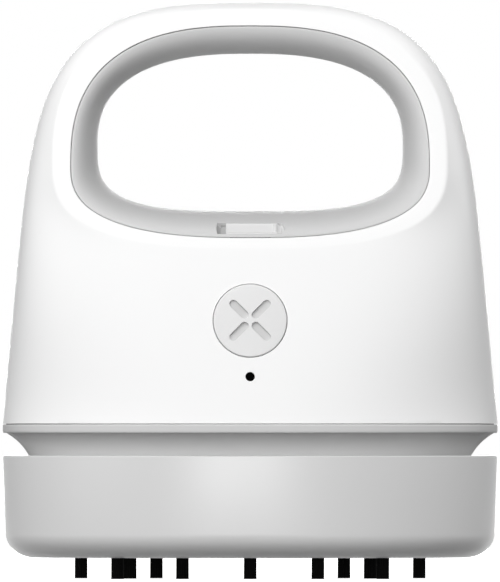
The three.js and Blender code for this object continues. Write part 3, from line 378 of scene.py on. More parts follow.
def settle(piece):
    """Applies a piece's modifiers to its mesh."""
    evaluated = piece.evaluated_get(bpy.context.evaluated_depsgraph_get())
    mesh = bpy.data.meshes.new_from_object(evaluated)
    piece.modifiers.clear()
    piece.data = mesh


def combine(piece, others, operation):
    """Joins the other pieces to this one, or cuts them away, and removes them."""
    for other in others:
        change = piece.modifiers.new("combine", "BOOLEAN")
        change.operation = operation
        change.object = other
        change.solver = "EXACT"
        settle(piece)
        bpy.data.objects.remove(other)


def cut(piece, *cutters):
    combine(piece, cutters, "DIFFERENCE")


def join(piece, *others):
    combine(piece, others, "UNION")


def finish_piece(piece, body, material, replaces=(), flats=False):
    """Shades a piece, gives it its material, and sets it on its body. Flats keep their own shade."""
    mesh = piece.data
    mesh.materials.clear()
    mesh.materials.append(material)
    mesh.shade_smooth()
    mesh.set_sharp_from_angle(angle=math.radians(SHARP_DEGREES))
    if flats:
        weigh = piece.modifiers.new("flat faces first", "WEIGHTED_NORMAL")
        weigh.keep_sharp = True
        settle(piece)
    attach(piece, body)
    if replaces:
        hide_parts(*replaces)


def etch_and_paint_shade(piece, finish, on_floor):
    """Gives the faces on a recess's floor a finish of their own: an etch, and a darker colour that is painted
    shade.
    """
    piece.data.materials.append(finish)
    for face in piece.data.polygons:
        if on_floor(face.center / MM):
            face.material_index = 1


def shape_tree(name, sizes):
    """An empty geometry tree: a geometry in and out, and a named input for each size."""
    tree = bpy.data.node_groups.new(name, "GeometryNodeTree")
    tree.interface.new_socket("Geometry", in_out="INPUT", socket_type="NodeSocketGeometry")
    for label, value in sizes.items():
        kind = "NodeSocketInt" if isinstance(value, int) else "NodeSocketFloat"
        tree.interface.new_socket(label, in_out="INPUT", socket_type=kind)
    tree.interface.new_socket("Geometry", in_out="OUTPUT", socket_type="NodeSocketGeometry")
    return tree


def close_tree(add, geometry, material):
    """Ends a tree with no instances left and one material."""
    whole = add("GeometryNodeRealizeInstances", {"Geometry": geometry})
    dressed = add("GeometryNodeSetMaterial", {"Geometry": whole.outputs["Geometry"], "Material": material})
    add("NodeGroupOutput", {0: dressed.outputs["Geometry"]})


def grow_by_tree(piece, tree, sizes):
    """Runs a geometry tree on a piece with these sizes and keeps its result as a plain mesh."""
    modifier = piece.modifiers.new(tree.name, "NODES")
    modifier.node_group = tree
    for socket in tree.interface.items_tree:
        if socket.name in sizes:
            modifier[socket.identifier] = sizes[socket.name]
    settle(piece)


# The body's surface: half width and half depth at a level, and the depth of its front at a point

def smoothstep(value, low, high):
    share = np.clip((value - low) / (high - low), 0, 1)
    return share * share * (3 - 2 * share)


def crown(height, top, crown_power, shoulder_power):
    left = 1 - (np.maximum(height, 0) / top) ** crown_power
    return np.clip(left, 0, None) ** (1 / shoulder_power)


def body_half_width(level, inset):
    height = level - SEAM_LEVEL
    half = OVERALL_WIDTH / 2 - SIDE_LEAN_SHARE * height
    return half * crown(height, BODY_HEIGHT - inset, *WIDTH_CROWN) - inset


def body_half_depth(level, inset):
    height = level - SEAM_LEVEL
    half = SEAM_DEPTH / 2 - FRONT_LEAN_SHARE * height
    return half * crown(height, BODY_HEIGHT - inset, *DEPTH_CROWN) - inset


def body_depth(x, level, inset):
    power = PLAN_POWER + PLAN_POWER_GAIN * smoothstep(level, SEAM_LEVEL, SEAM_LEVEL + PLAN_POWER_RISE)
    share = np.abs(x) / np.maximum(body_half_width(level, inset), CLEARANCE)
    left = np.clip(1 - share ** power, 0, None)
    return np.maximum(body_half_depth(level, inset), 0) * left ** (1 / power)


def rim_depth(level):
    return RIM_DEPTH_BELOW - RIM_LEAN * (level - RIM.bottom)


def in_outline(outline, grow, x, level):
    upper = level > outline.waist
    reach = np.where(upper, outline.top + grow - outline.waist, outline.waist - outline.bottom + grow)
    power = np.where(upper, outline.upper_power, outline.lower_power)
    across = np.abs(x) / (outline.half_width + grow)
    return across ** power + (np.abs(level - outline.waist) / reach) ** power < 1


def reach_of(inside, angle, halvings=44):
    """How far from the handle's centre each ray leaves a region."""
    near, far = np.zeros(len(angle)), np.full(len(angle), OVERALL_WIDTH + BODY_HEIGHT)
    for _ in range(halvings):
        middle = (near + far) / 2
        hit = inside(middle * np.cos(angle), RIM.waist + middle * np.sin(angle))
        near, far = np.where(hit, middle, near), np.where(hit, far, middle)
    return (near + far) / 2


def ray_angles(upper=224, seam=144):
    """Rays spread evenly over the top, and through the oval plan's own points along the seam."""
    drop = RIM.waist - SEAM_LEVEL
    corner = math.atan2(drop, OVERALL_WIDTH / 2)
    over = -corner + (math.pi + 2 * corner) * np.arange(upper) / upper
    turn = np.pi * np.arange(seam) / seam
    x = -OVERALL_WIDTH / 2 * squared(np.cos(turn))
    return np.concatenate([over, 2 * np.pi + np.arctan2(-drop, x)])


# The two halves of the body's shell

EDGE_ROUND = 0.18
CREASE_ROUND = 0.5
END_ROUND = 0.2
RIM_RINGS = 4
SEAM_NEAR = 0.05


def skin_rings(inset, facing, side_rings):
    """Rings over one face of the skin, from the hole's edge over the rim's crease to the parting line."""
    angle = ray_angles()
    edge = reach_of(lambda x, z: in_outline(GRIP, FINE_GAP - GRIP_TRIM, x, z), angle)
    crease = np.maximum(reach_of(lambda x, z: in_outline(RIM, -inset, x, z), angle), edge + CLEARANCE)
    outer = reach_of(lambda x, z: (z > SEAM_LEVEL) & (np.abs(x) < body_half_width(z, inset)), angle)
    sunk = RIM_WALL if inset else 0

    def spot(reach):
        return reach * np.cos(angle), RIM.waist + reach * np.sin(angle)

    def on_rim(reach):
        x, z = spot(reach)
        return np.column_stack([x, facing * (rim_depth(z) - sunk), z])

    crease_x, crease_z = spot(crease)
    step = rim_depth(crease_z) - sunk - body_depth(crease_x, crease_z, inset)

    def on_side(share):
        along = 1 - (1 - share) ** 5
        x, z = spot(crease + (outer - crease) * along)
        return np.column_stack([x, facing * (body_depth(x, z, inset) + step * (1 - along) ** 2), z])

    dense = np.linspace(0, 1, 500)
    path = np.stack([on_side(share) for share in dense])
    parts = np.linalg.norm(np.diff(path, axis=0), axis=2)
    lengths = np.concatenate([np.zeros((1, len(angle))), np.cumsum(parts, axis=0)])

    def at_length(length):
        share = np.array([np.interp(length[i], lengths[:, i], dense) for i in range(len(angle))])
        return on_side(share)

    on_seam = spot(outer)[1] < SEAM_LEVEL + SEAM_NEAR
    last = path[-1].copy()
    last[on_seam, 2] = SEAM_LEVEL + SEAM_LIFT
    last[~on_seam, 1] = 0
    total = lengths[-1]
    if inset:
        sides = [at_length(total * i / side_rings) for i in range(side_rings)]
        return [on_rim(edge), *sides, last]
    hole = on_rim(edge)
    rings = curve_between(hole - [0, facing * EDGE_ROUND, 0], hole, on_rim(edge + EDGE_ROUND), steps=4)
    flat = crease - edge - EDGE_ROUND - CREASE_ROUND
    rings += [on_rim(edge + EDGE_ROUND + flat * i / RIM_RINGS) for i in range(1, RIM_RINGS)]
    below_crease = at_length(np.full(len(angle), CREASE_ROUND))
    rings += curve_between(on_rim(crease - CREASE_ROUND), on_rim(crease), below_crease, steps=5)
    room = total - CREASE_ROUND - END_ROUND
    rings += [at_length(CREASE_ROUND + room * i / side_rings) for i in range(1, side_rings)]
    inward = np.column_stack([-np.cos(angle), np.zeros(len(angle)), -np.sin(angle)])
    spread = np.linalg.norm(last[on_seam, :2], axis=1, keepdims=True)
    inward[on_seam] = np.column_stack([-last[on_seam, :2] / spread, np.zeros(on_seam.sum())])
    rings += curve_between(at_length(total - END_ROUND), last, last + END_ROUND * inward, steps=3)
    return rings


def half_shell(name, facing):
    outside = skin_rings(0, facing, side_rings=46)
    inside = skin_rings(WALL, facing, side_rings=12)
    return lofted(name, [*outside, *inside[::-1]], closed=True)


# Front controls: a frame whose +Z leaves the leaning front, and whose +Y runs up it
BUTTON_LEVEL = 57.3
BUTTON_RADIUS = 8.15
BUTTON_PROUD = 0.5
LIGHT_LEVEL = 44.9
LIGHT_RADIUS = 1
DEPTH_BELOW_BUTTON = float(body_half_depth(BUTTON_LEVEL - WALL, 0))
DEPTH_AT_BUTTON = float(body_half_depth(BUTTON_LEVEL, 0))
DEPTH_ABOVE_BUTTON = float(body_half_depth(BUTTON_LEVEL + WALL, 0))
FRONT_LEAN = math.atan((DEPTH_BELOW_BUTTON - DEPTH_ABOVE_BUTTON) / (2 * WALL))
LIGHT_DROP = (BUTTON_LEVEL - LIGHT_LEVEL) / math.cos(FRONT_LEAN)
ON_FRONT = shift(0, -DEPTH_AT_BUTTON, BUTTON_LEVEL) @ Matrix.Rotation(math.pi / 2 - FRONT_LEAN, 4, "X")
ON_LIGHT = ON_FRONT @ shift(0, -LIGHT_DROP, 0)


def front_shell():
    """The front half, with a chamfered well for the button and a small one for the light."""
    shell = half_shell("front_body_shell", -1)
    well, chamfer, skim, deep = BUTTON_RADIUS + FINE_GAP, 0.14, 0.02, -2 * WALL
    button_hole = turned("button_hole", soften(
        [(BUTTON_RADIUS + 0.6, 1.5), (well + chamfer, skim), (well, skim - chamfer), (well, deep)],
        [0.08, 0.08]))
    well = LIGHT_RADIUS + 0.04
    light_hole = turned("light_hole", [
        (LIGHT_RADIUS + 0.3, OVERRUN), (well + 0.06, skim), (well, -0.06), (well, deep)], steps=48)
    cut(shell, moved(button_hole, ON_FRONT), moved(light_hole, ON_LIGHT))
    finish_piece(shell, "housing", white_abs, ["front_shell"])


def slotted(name, piece, sizes, material):
    """Cuts a row of upright slots with round ends through a piece."""
    just_under_half = 0.4995
    tree = shape_tree(name, sizes)
    add = partial(add_node, tree)
    given = add("NodeGroupInput").outputs
    outline = add("GeometryNodeCurvePrimitiveQuadrilateral", {
        "Width": given["Slot Width"], "Height": given["Slot Height"]})
    half = add("ShaderNodeMath", {0: given["Slot Width"], 1: just_under_half}, operation="MULTIPLY")
    ends = add("GeometryNodeFilletCurve", {
        "Curve": outline.outputs["Curve"], "Radius": half.outputs[0], "Count": 10}, mode="POLY")
    far = add("ShaderNodeCombineXYZ", {"Y": given["Reach"]})
    path = add("GeometryNodeCurvePrimitiveLine", {"End": far.outputs["Vector"]})
    bar = add("GeometryNodeCurveToMesh", {
        "Curve": path.outputs["Curve"], "Profile Curve": ends.outputs["Curve"], "Fill Caps": True})
    less = add("ShaderNodeMath", {0: given["Count"], 1: 1.0}, operation="SUBTRACT")
    span = add("ShaderNodeMath", {0: less.outputs[0], 1: given["Pitch"]}, operation="MULTIPLY")
    left = add("ShaderNodeMath", {0: span.outputs[0], 1: -0.5}, operation="MULTIPLY")
    start = add("ShaderNodeCombineXYZ", {"X": left.outputs[0], "Y": given["Start"], "Z": given["Level"]})
    pitch = add("ShaderNodeCombineXYZ", {"X": given["Pitch"]})
    row = add("GeometryNodeMeshLine", {
        "Count": given["Count"], "Start Location": start.outputs["Vector"],
        "Offset": pitch.outputs["Vector"]})
    bars = add("GeometryNodeInstanceOnPoints", {
        "Points": row.outputs["Mesh"], "Instance": bar.outputs["Mesh"]})
    cutters = add("GeometryNodeRealizeInstances", {"Geometry": bars.outputs["Instances"]})
    carved = add("GeometryNodeMeshBoolean", {
        "Mesh 1": given["Geometry"], "Mesh 2": cutters.outputs["Geometry"]},
        operation="DIFFERENCE", solver="EXACT")
    close_tree(add, carved.outputs["Mesh"], material)
    grow_by_tree(piece, tree, sizes)


def rear_shell():
    """The rear half, with a rounded hole for the charging socket and a row of exhaust slots above it."""
    shell = half_shell("rear_body_shell", 1)
    board_level, socket_width, socket_height = 43, 8.9, 3.2
    middle = board_level + BOARD_THICKNESS + CLEARANCE + socket_height / 2
    socket_hole = pill_stack(
        "socket_hole", socket_width + 2 * CLEARANCE, socket_height + 2 * CLEARANCE,
        [(0, -2 * WALL), (0, -0.35), (0.12, -0.1), (0.45, 0.1), (0.9, 1.5)])
    on_back = shift(0, float(body_half_depth(middle, 0)), middle) @ Matrix.Rotation(-math.pi / 2, 4, "X")
    cut(shell, moved(socket_hole, on_back))
    slotted("exhaust slots", shell, {
        "Count": 7, "Pitch": 4.6 * MM, "Slot Width": 1.8 * MM, "Slot Height": 18 * MM,
        "Level": 62 * MM, "Start": 14 * MM, "Reach": 20 * MM}, white_abs)
    finish_piece(shell, "housing", white_abs, ["rear_shell"])


# The slide in the lower front slope of the grip ring: +Z leaves the slope, and the slide rests on the right
GRIP_RECESS = 0.35
SLOPE_SHARE = 0.347
SLOPE_TURN = math.asin(SLOPE_SHARE)
SLOPE_DEPTH = rim_depth(GRIP.bottom) - GRIP_RECESS
SLOPE_CROWN = OPENING.bottom - GRIP.bottom
SLOPE_LEVEL = GRIP.bottom + SLOPE_CROWN * SLOPE_SHARE
SLOPE_ANGLE = math.atan2(SLOPE_CROWN * math.cos(SLOPE_TURN), SLOPE_DEPTH * math.sin(SLOPE_TURN))
TO_SLOPE = shift(0, -SLOPE_DEPTH * math.cos(SLOPE_TURN), SLOPE_LEVEL)
ON_SLOPE = TO_SLOPE @ Matrix.Rotation(SLOPE_ANGLE, 4, "X")
SLIDE_RISE = 0.37
SLOT_LEFT = -7.3
SLOT_RIGHT = 7.5
SLOT_HALF = 2
SLOT_FLOOR = -0.85
DEEP_END_FLOOR = -1.65
DEEP_END_RIGHT = -5
STEM_RISE = 0.7


def slide_outline(grow, level, left, right, half):
    """The outline of the slide or its slot, with wide corners on the right and tight ones on the left."""
    wide, tight, smallest, turns = 1.3, 0.3, 0.05, 8
    points = []
    for x, side, up, corner, start in (
            (right, 1, -1, wide, 270), (right, 1, 1, wide, 0), (left, -1, 1, tight, 90),
            (left, -1, -1, tight, 180)):
        radius = max(corner + grow, smallest)
        for i in range(turns + 1):
            turn = math.radians(start + 90 * i / turns)
            points.append((x + side * (grow - radius) + radius * math.cos(turn),
                           SLIDE_RISE + up * (half + grow - radius) + radius * math.sin(turn), level))
    return np.array(points)


def across_slide(name, left, right, half, low, high, rise=0):
    """A block that lies across the slide's slot."""
    return block(name, (left, SLIDE_RISE - half, low), (right, SLIDE_RISE + half, high), rise)


def across_stem(name, middle, half_length, half_width, low, high):
    """A block round the slide's stem."""
    return block(name, (middle - half_length, STEM_RISE - half_width, low),
                 (middle + half_length, STEM_RISE + half_width, high))


def slot_cutters():
    """What is cut for the slide: the slot with a ramp to its deep left end, and room for stem and switch."""
    ramp_foot, ramp_top, overlap, cutter_top = -6.5, SLOT_FLOOR + 0.01, 0.05, 0.3
    edge = [(0, SLOT_FLOOR), (0, -0.2), (0.05, -0.08), (0.2, 0.08), (0.6, 1.2)]
    return [
        lofted("slide_slot", [
            slide_outline(grow, level, SLOT_LEFT, SLOT_RIGHT, SLOT_HALF) for grow, level in edge]),
        across_slide("slide_slot_end_ramp", SLOT_LEFT, ramp_foot, SLOT_HALF, ramp_top, cutter_top,
                     rise=DEEP_END_FLOOR - ramp_top),
        across_slide("slide_slot_deep_end", ramp_foot - overlap, DEEP_END_RIGHT, SLOT_HALF,
                     DEEP_END_FLOOR, 0, rise=0.6),
        across_stem("slide_stem_hole", middle=0, half_length=2.1, half_width=1.1, low=-4.2, high=-0.8),
        across_stem("slide_switch_room", middle=0, half_length=4.8, half_width=1.9, low=-5.3, high=-1.95),
    ]


def on_deep_end(spot, near=0.1):
    """Whether a point of the ring is on the ramp or the floor at the slot's deep left end, where shade is
    painted.
    """
    x, y, z = ON_SLOPE.inverted() @ (spot * MM) / MM
    return (SLOT_LEFT - near < x < DEEP_END_RIGHT + near and abs(y - SLIDE_RISE) < SLOT_HALF + near
            and DEEP_END_FLOOR - near / 2 < z < SLOT_FLOOR - near / 10)


def grip_ring():
    """The crowned ring that lines the opening, whose section changes all round."""
    edge_round, lip, lip_thickness, grip_wall, board_half_length = 0.2, 1.2, 1.2, 1.8, 10.5
    angle = ray_angles()
    outer = reach_of(lambda x, z: in_outline(GRIP, -GRIP_TRIM, x, z), angle)
    inner = reach_of(lambda x, z: in_outline(OPENING, 0, x, z), angle)
    level = RIM.waist + outer * np.sin(angle)
    swell = outer - inner

    def at(reach, facing, depth):
        z = RIM.waist + reach * np.sin(angle)
        y = depth(z) if callable(depth) else depth
        return np.column_stack([reach * np.cos(angle), facing * y, z])

    def lip_front(z):
        return rim_depth(z) - RIM_WALL - CLEARANCE

    def lip_back(z):
        return lip_front(z) - lip_thickness

    def arch(height, depth, steps):
        """Rings over the ring's section, which swells towards the opening, from front to back."""
        turns = np.linspace(0, np.pi, steps)
        return [at(outer - height * math.sin(t), 1, -depth * math.cos(t)) for t in turns]

    edge_depth = rim_depth(level) - GRIP_RECESS
    front, rear = at(outer, -1, edge_depth), at(outer, 1, edge_depth)
    face = arch(swell, edge_depth, steps=61)
    rings = curve_between(front + [0, edge_round, 0], front, face[1], steps=3)
    rings += face[2:-2]
    rings += curve_between(face[-2], rear, rear - [0, edge_round, 0], steps=3)
    rings += [at(outer, 1, lip_front), at(outer + lip, 1, lip_front), at(outer + lip, 1, lip_back)]
    rings += arch(swell - grip_wall, lip_back(level), steps=15)[::-1]
    rings += [at(outer + lip, -1, lip_back), at(outer + lip, -1, lip_front), at(outer, -1, lip_front)]
    ring = lofted("handle_grip_ring", rings, closed=True)
    board_gap = block("slide_board_gap", (-board_half_length, -RIM_DEPTH_BELOW, RIM.bottom),
                      (board_half_length, -RIM_DEPTH_BELOW / 2, GRIP.bottom))
    cut(ring, *[moved(cutter, ON_SLOPE) for cutter in slot_cutters()], board_gap)
    finish_piece(ring, "housing", mid_grey_abs, ["grip_ring"])
    # The deep end of the slide's slot gets a darker grey: painted shade.
    etch_and_paint_shade(ring, etched_grey_abs_with_painted_shade, on_deep_end)


def slide_knob():
    """The slide's dished thumb plate, whose right end falls away beside its ridge, and its stem."""
    left, right, half, low, top = -5.4, 6.85, 1.9, -0.75, -0.18
    fall_start, fall_end, fall, cutter_top = 6, 7, -0.44, 0.5
    ridge_x, ridge_length, ridge_width = 5.55, 3, 0.95
    dish = [(0, low), (0, top - 0.15), (-0.03, top - 0.06), (-0.11, top), (-0.3, top - 0.01),
            (-0.5, top - 0.08), (-0.8, top - 0.11)]
    plate = lofted("slide_thumb_plate", [
        slide_outline(grow, level, left, right, half) for grow, level in dish])
    cut(plate, across_slide("slide_end_fall", fall_start, fall_end, half + CLEARANCE, top - 0.1,
                            cutter_top, rise=fall))
    stem = across_stem("slide_stem", middle=0.9, half_length=0.6, half_width=0.6, low=-3.95, high=low + 0.2)
    ridge = pill_stack("slide_ridge", ridge_length, ridge_width, [
        (0, top - 0.3), (0, top + 0.02), (-0.08, top + 0.14), (-0.2, top + 0.22), (-0.36, top + 0.26)],
        steps=8)
    moved(ridge, shift(ridge_x, SLIDE_RISE, 0) @ Matrix.Rotation(math.pi / 2, 4, "Z"))
    join(plate, stem, ridge)
    moved(plate, ON_SLOPE)
    finish_piece(plate, "slide_knob", off_white_abs, ["slide_knob"], flats=True)


def power_button():
    """The domed button with its flange and stem, and four recesses on its diagonals whose etched floors carry
    painted shade.
    """
    dome, dome_step = 0.3, 0.5
    flange_radius, flange_front, flange_back = 9.3, -WALL - CLEARANCE, -3.1
    stem_radius, stem_end = 1.7, -4.6
    recess_place, recess_length, recess_width, recess_floor, recess_reach = 2.48, 5.2, 1.75, -0.3, 6.5
    face = []
    for i in range(16):
        radius = max(dome_step * i, TURNED_TIP)
        face.append((radius, BUTTON_PROUD - dome * (dome_step * i / BUTTON_RADIUS) ** 2))
    side = soften([
        face[-1], (BUTTON_RADIUS, BUTTON_PROUD - dome), (BUTTON_RADIUS, flange_front),
        (flange_radius, flange_front), (flange_radius, flange_back), (stem_radius, flange_back),
        (stem_radius, stem_end), (TURNED_TIP, stem_end)], [0.3, 0.1, 0.1, 0.1, 0, 0.1])
    button = turned("power_push_button", face[:-1] + side)
    for sx, sy in ((1, 1), (-1, 1), (-1, -1), (1, -1)):
        recess = pill_stack("button_recess", recess_length, recess_width, [
            (-0.12, recess_floor), (-0.03, -0.27), (0, -0.18), (0, 0.25), (0.3, 1.6)])
        place = shift(sx * recess_place, sy * recess_place, 0)
        cut(button, moved(recess, place @ Matrix.Rotation(sx * sy * math.pi / 4, 4, "Z")))
    finish_piece(button, "power_button", pale_abs, ["power_button"], flats=True)

    def on_recess_floor(spot):
        return recess_floor - 0.01 < spot.z < recess_floor + 0.1 and spot.xy.length < recess_reach

    # The recess floors get a darker grey: painted shade.
    etch_and_paint_shade(button, etched_pale_abs_with_painted_shade, on_recess_floor)
    moved(button, ON_FRONT)


def status_window():
    """The light's round window, a little below the skin."""
    face = [(TURNED_TIP, -0.03), (0.8, -0.04), (LIGHT_RADIUS, -0.1), (LIGHT_RADIUS, -8)]
    window = turned("status_light_window", soften(face, [0.2, 0.05]), steps=48)
    moved(window, ON_LIGHT)
    finish_piece(window, "housing", smoked_polycarbonate, ["light_pipe"])


# The neck: its deck carries the cells and the fan, its spigot hangs into the dust box
DECK_LEVEL = 31
DECK_BOTTOM = DECK_LEVEL - 2
SPIGOT_INSET = 12.2
SPIGOT_BACK = SPIGOT_INSET + 1.5
SPIGOT_FOOT = BASE_TOP - 3.9
TONGUE_HEIGHT = 2.6
TONGUE_THICKNESS = 1.5
CELL_X = OVERALL_WIDTH / 2 * 0.618
CUP_INNER = 8.25 + CLEARANCE
CUP_OUTER = CUP_INNER + 1.3
CUP_TOP = DECK_LEVEL + 3.4
FAN_EYE_RADIUS = 10
SCREW_HOLE_RADIUS = 1.1 + CLEARANCE
SCREW_X = 26
SCREW_Y = 9.5


def neck_collar():
    """The neck: a rounded lip under a narrow seam groove, its cove, its deck with cups, and its spigot."""
    tongue = WALL + 2 * CLEARANCE + SEAM_STEP + FRONT_LEAN_SHARE * TONGUE_HEIGHT
    tongue_top = SEAM_LEVEL + TONGUE_HEIGHT
    groove_bottom = SEAM_LEVEL - FINE_GAP
    groove_depth, groove_slant, tongue_spread = 0.75, 0.05, 0.5
    land = SEAM_LEVEL + SEAM_LIFT - 0.02
    cove_foot, cove_bend, cove_head = (5.8, BASE_TOP), (4, BASE_TOP + 3.2), (0.75, LIP_BOTTOM)
    cove = curve_between(*[np.array(point) for point in (cove_foot, cove_bend, cove_head)], steps=14)
    lip = soften([
        cove_head, (0, LIP_BOTTOM - 0.02), (0, groove_bottom), (groove_depth, groove_bottom),
        (groove_depth + groove_slant, land), (tongue, land), (tongue, tongue_top),
        (tongue + TONGUE_THICKNESS, tongue_top), (tongue + TONGUE_THICKNESS + tongue_spread, DECK_LEVEL)],
        [0.6, 0.3, 0, 0, 0, 0.2, 0.2], steps=7)
    spigot = [(SPIGOT_BACK, DECK_BOTTOM), (SPIGOT_BACK, SPIGOT_FOOT), (SPIGOT_INSET, SPIGOT_FOOT),
              (SPIGOT_INSET, BASE_TOP)]
    collar = oval_sweep("neck_collar_ring", [*spigot, *cove, *lip[1:]])
    for x in (-CELL_X, CELL_X):
        cup = turned("cell_cup", [
            (CUP_INNER, DECK_LEVEL - OVERRUN), (CUP_OUTER, DECK_LEVEL - OVERRUN),
            (CUP_OUTER, CUP_TOP), (CUP_INNER, CUP_TOP)], steps=64, closed=True)
        join(collar, moved(cup, shift(x, 0, 0)))

    def deck_hole(name, radius, x=0, y=0, steps=96):
        ends = [(radius, DECK_BOTTOM - OVERRUN), (radius, DECK_LEVEL + OVERRUN)]
        cut(collar, moved(turned(name, ends, steps), shift(x, y, 0)))

    deck_hole("fan_eye_hole", FAN_EYE_RADIUS)
    for x in (-SCREW_X, SCREW_X):
        for y in (-SCREW_Y, SCREW_Y):
            deck_hole("screw_hole", SCREW_HOLE_RADIUS, x, y, steps=24)
    finish_piece(collar, "housing", mid_grey_abs, ["neck_collar"])
    # The seam groove's floor gets a darker grey: painted shade.
    etch_and_paint_shade(collar, etched_grey_abs_with_painted_shade, lambda spot: groove_bottom < spot.z < land)


# Brush strips: each strip's place in depth, and how far along X each of its tufts stands
ROW_Y = BASE_DEPTH / 2 - 17.5
STRIPS = {
    "brush_front": (-ROW_Y, [-29.42, -15.02, 0, 15.02, 29.42]),
    "brush_rear": (ROW_Y, [-37.68, -20.9, 20.9, 37.68]),
    "brush_left": (0, [-26.68]),
    "brush_right": (0, [26.68]),
}
STRIP_MARGIN = 2
STRIP_WIDTH = 3.6
STRIP_THICKNESS = 1.5
TIP_LIFT = 0.01


def dust_box():
    """The oval tub with a rounded foot and a stepped mouth, its inlet duct, and grooves for the strips."""
    wall, taper, shoulder, floor_round = 2.2, 0.6, 2.2, 3
    round_width, round_height, foot_steps = 6.7, 5.4, 22
    mouth, mouth_step, step_depth = 8, 6.5, 1.2
    bottom = BRISTLE_LENGTH
    floor, step_level, shoulder_level = bottom + 3, BASE_TOP - step_depth, BASE_TOP - shoulder
    turns = np.linspace(0, np.pi / 2, foot_steps)
    foot = [(taper + round_width * (1 - math.sin(t)), bottom + round_height * (1 - math.cos(t)))
            for t in turns]
    inside = wall + taper
    upper = soften([
        foot[-1], (0, BASE_TOP), (mouth_step, BASE_TOP), (mouth_step, step_level), (mouth, step_level),
        (mouth, shoulder_level), (wall, shoulder_level - (mouth - wall) / 2),
        (inside, bottom + round_height), (inside + floor_round, floor)],
        [0.32, 0.2, 0, 0.15, 0.2, 0.5, 2])
    tub = oval_sweep("dust_box_tub", foot + upper[1:])
    inlet_length, inlet_width, duct_wall, duct_top = 44, 6, 1.2, 14.5
    duct = pill_stack("inlet_duct", inlet_length + 2 * duct_wall, inlet_width + 2 * duct_wall, [
        (0, floor - OVERRUN), (0, duct_top - 0.3), (-0.1, duct_top - 0.1), (-0.3, duct_top)])
    inlet = pill_stack("inlet_cut", inlet_length, inlet_width, [
        (0.8, bottom - OVERRUN), (0.35, bottom), (0.1, bottom + 0.25), (0, bottom + 0.7),
        (0, duct_top - 0.4), (0.15, duct_top - 0.1), (0.5, duct_top + OVERRUN)])
    join(tub, duct)
    cut(tub, inlet)
    margin, half = STRIP_MARGIN + CLEARANCE, STRIP_WIDTH / 2 + CLEARANCE
    for y, tufts in STRIPS.values():
        cut(tub, block("strip_groove", (min(tufts) - margin, y - half, bottom - OVERRUN),
                       (max(tufts) + margin, y + half, bottom + STRIP_THICKNESS + CLEARANCE)))
    finish_piece(tub, "dust_box", grey_abs, ["dust_box"])


def tufts_tree(sizes):
    """A tree that stands a round tuft of straight strands at each point it is given."""
    golden_turn, whole_turn = math.pi * (3 - math.sqrt(5)), 6.28
    tree = shape_tree("bristle tufts", sizes)
    add = partial(add_node, tree)
    given = add("NodeGroupInput").outputs
    index = add("GeometryNodeInputIndex").outputs["Index"]
    turn = add("ShaderNodeMath", {0: index, 1: golden_turn}, operation="MULTIPLY")
    share = add("ShaderNodeMath", {0: index, 1: given["Strands"]}, operation="DIVIDE")
    root = add("ShaderNodeMath", {0: share.outputs[0]}, operation="SQRT")
    reach = add("ShaderNodeMath", {0: root.outputs[0], 1: given["Tuft Radius"]}, operation="MULTIPLY")
    sides = {}
    for axis, wave in (("X", "COSINE"), ("Y", "SINE")):
        part = add("ShaderNodeMath", {0: turn.outputs[0]}, operation=wave)
        side = add("ShaderNodeMath", {0: reach.outputs[0], 1: part.outputs[0]}, operation="MULTIPLY")
        sides[axis] = side.outputs[0]
    spot = add("ShaderNodeCombineXYZ", sides)
    roots = add("GeometryNodePoints", {"Count": given["Strands"], "Position": spot.outputs["Vector"]})
    strand = add("GeometryNodeMeshCone", {
        "Vertices": 6, "Side Segments": 2, "Fill Segments": 1, "Radius Top": given["Strand Radius"],
        "Radius Bottom": given["Strand Radius"], "Depth": given["Strand Length"]})
    low = add("ShaderNodeMath", {0: given["Lean"], 1: -1.0}, operation="MULTIPLY")
    lean_low = add("ShaderNodeCombineXYZ", {"X": low.outputs[0], "Y": low.outputs[0]})
    lean_high = add("ShaderNodeCombineXYZ", {"X": given["Lean"], "Y": given["Lean"], "Z": whole_turn})
    lean = add("FunctionNodeRandomValue", {
        "Min": lean_low.outputs["Vector"], "Max": lean_high.outputs["Vector"], "Seed": given["Seed"]},
        data_type="FLOAT_VECTOR")
    tuft = add("GeometryNodeInstanceOnPoints", {
        "Points": roots.outputs["Points"], "Instance": strand.outputs["Mesh"],
        "Rotation": lean.outputs["Value"]})
    tufts = add("GeometryNodeInstanceOnPoints", {
        "Points": given["Geometry"], "Instance": tuft.outputs["Instances"]})
    close_tree(add, tufts.outputs["Instances"], black_nylon)
    return tree


def brush_strips():
    """The tufts of each strip, and the backing that holds them in the dust box's floor."""
    sizes = {
        "Strands": 170, "Tuft Radius": 1.34 * MM, "Strand Radius": 0.1 * MM,
        "Strand Length": 5.3 * MM, "Lean": 0.008, "Seed": 7}
    tree = tufts_tree(sizes)
    bottom = BRISTLE_LENGTH
    for node, (y, places) in STRIPS.items():
        tufts = mesh_object(node + "_tufts", [(x, y, TIP_LIFT) for x in places], [])
        grow_by_tree(tufts, tree, sizes)
        finish_piece(tufts, "dust_box", black_nylon, [node])
        length = max(places) - min(places) + 2 * STRIP_MARGIN
        middle = (max(places) + min(places)) / 2
        strip = pill_stack(node + "_backing", length, STRIP_WIDTH, [
            (-0.2, bottom), (0, bottom + 0.2), (0, bottom + STRIP_THICKNESS)], steps=8)
        moved(strip, shift(middle, y, 0))
        finish_piece(strip, "dust_box", dark_nylon)


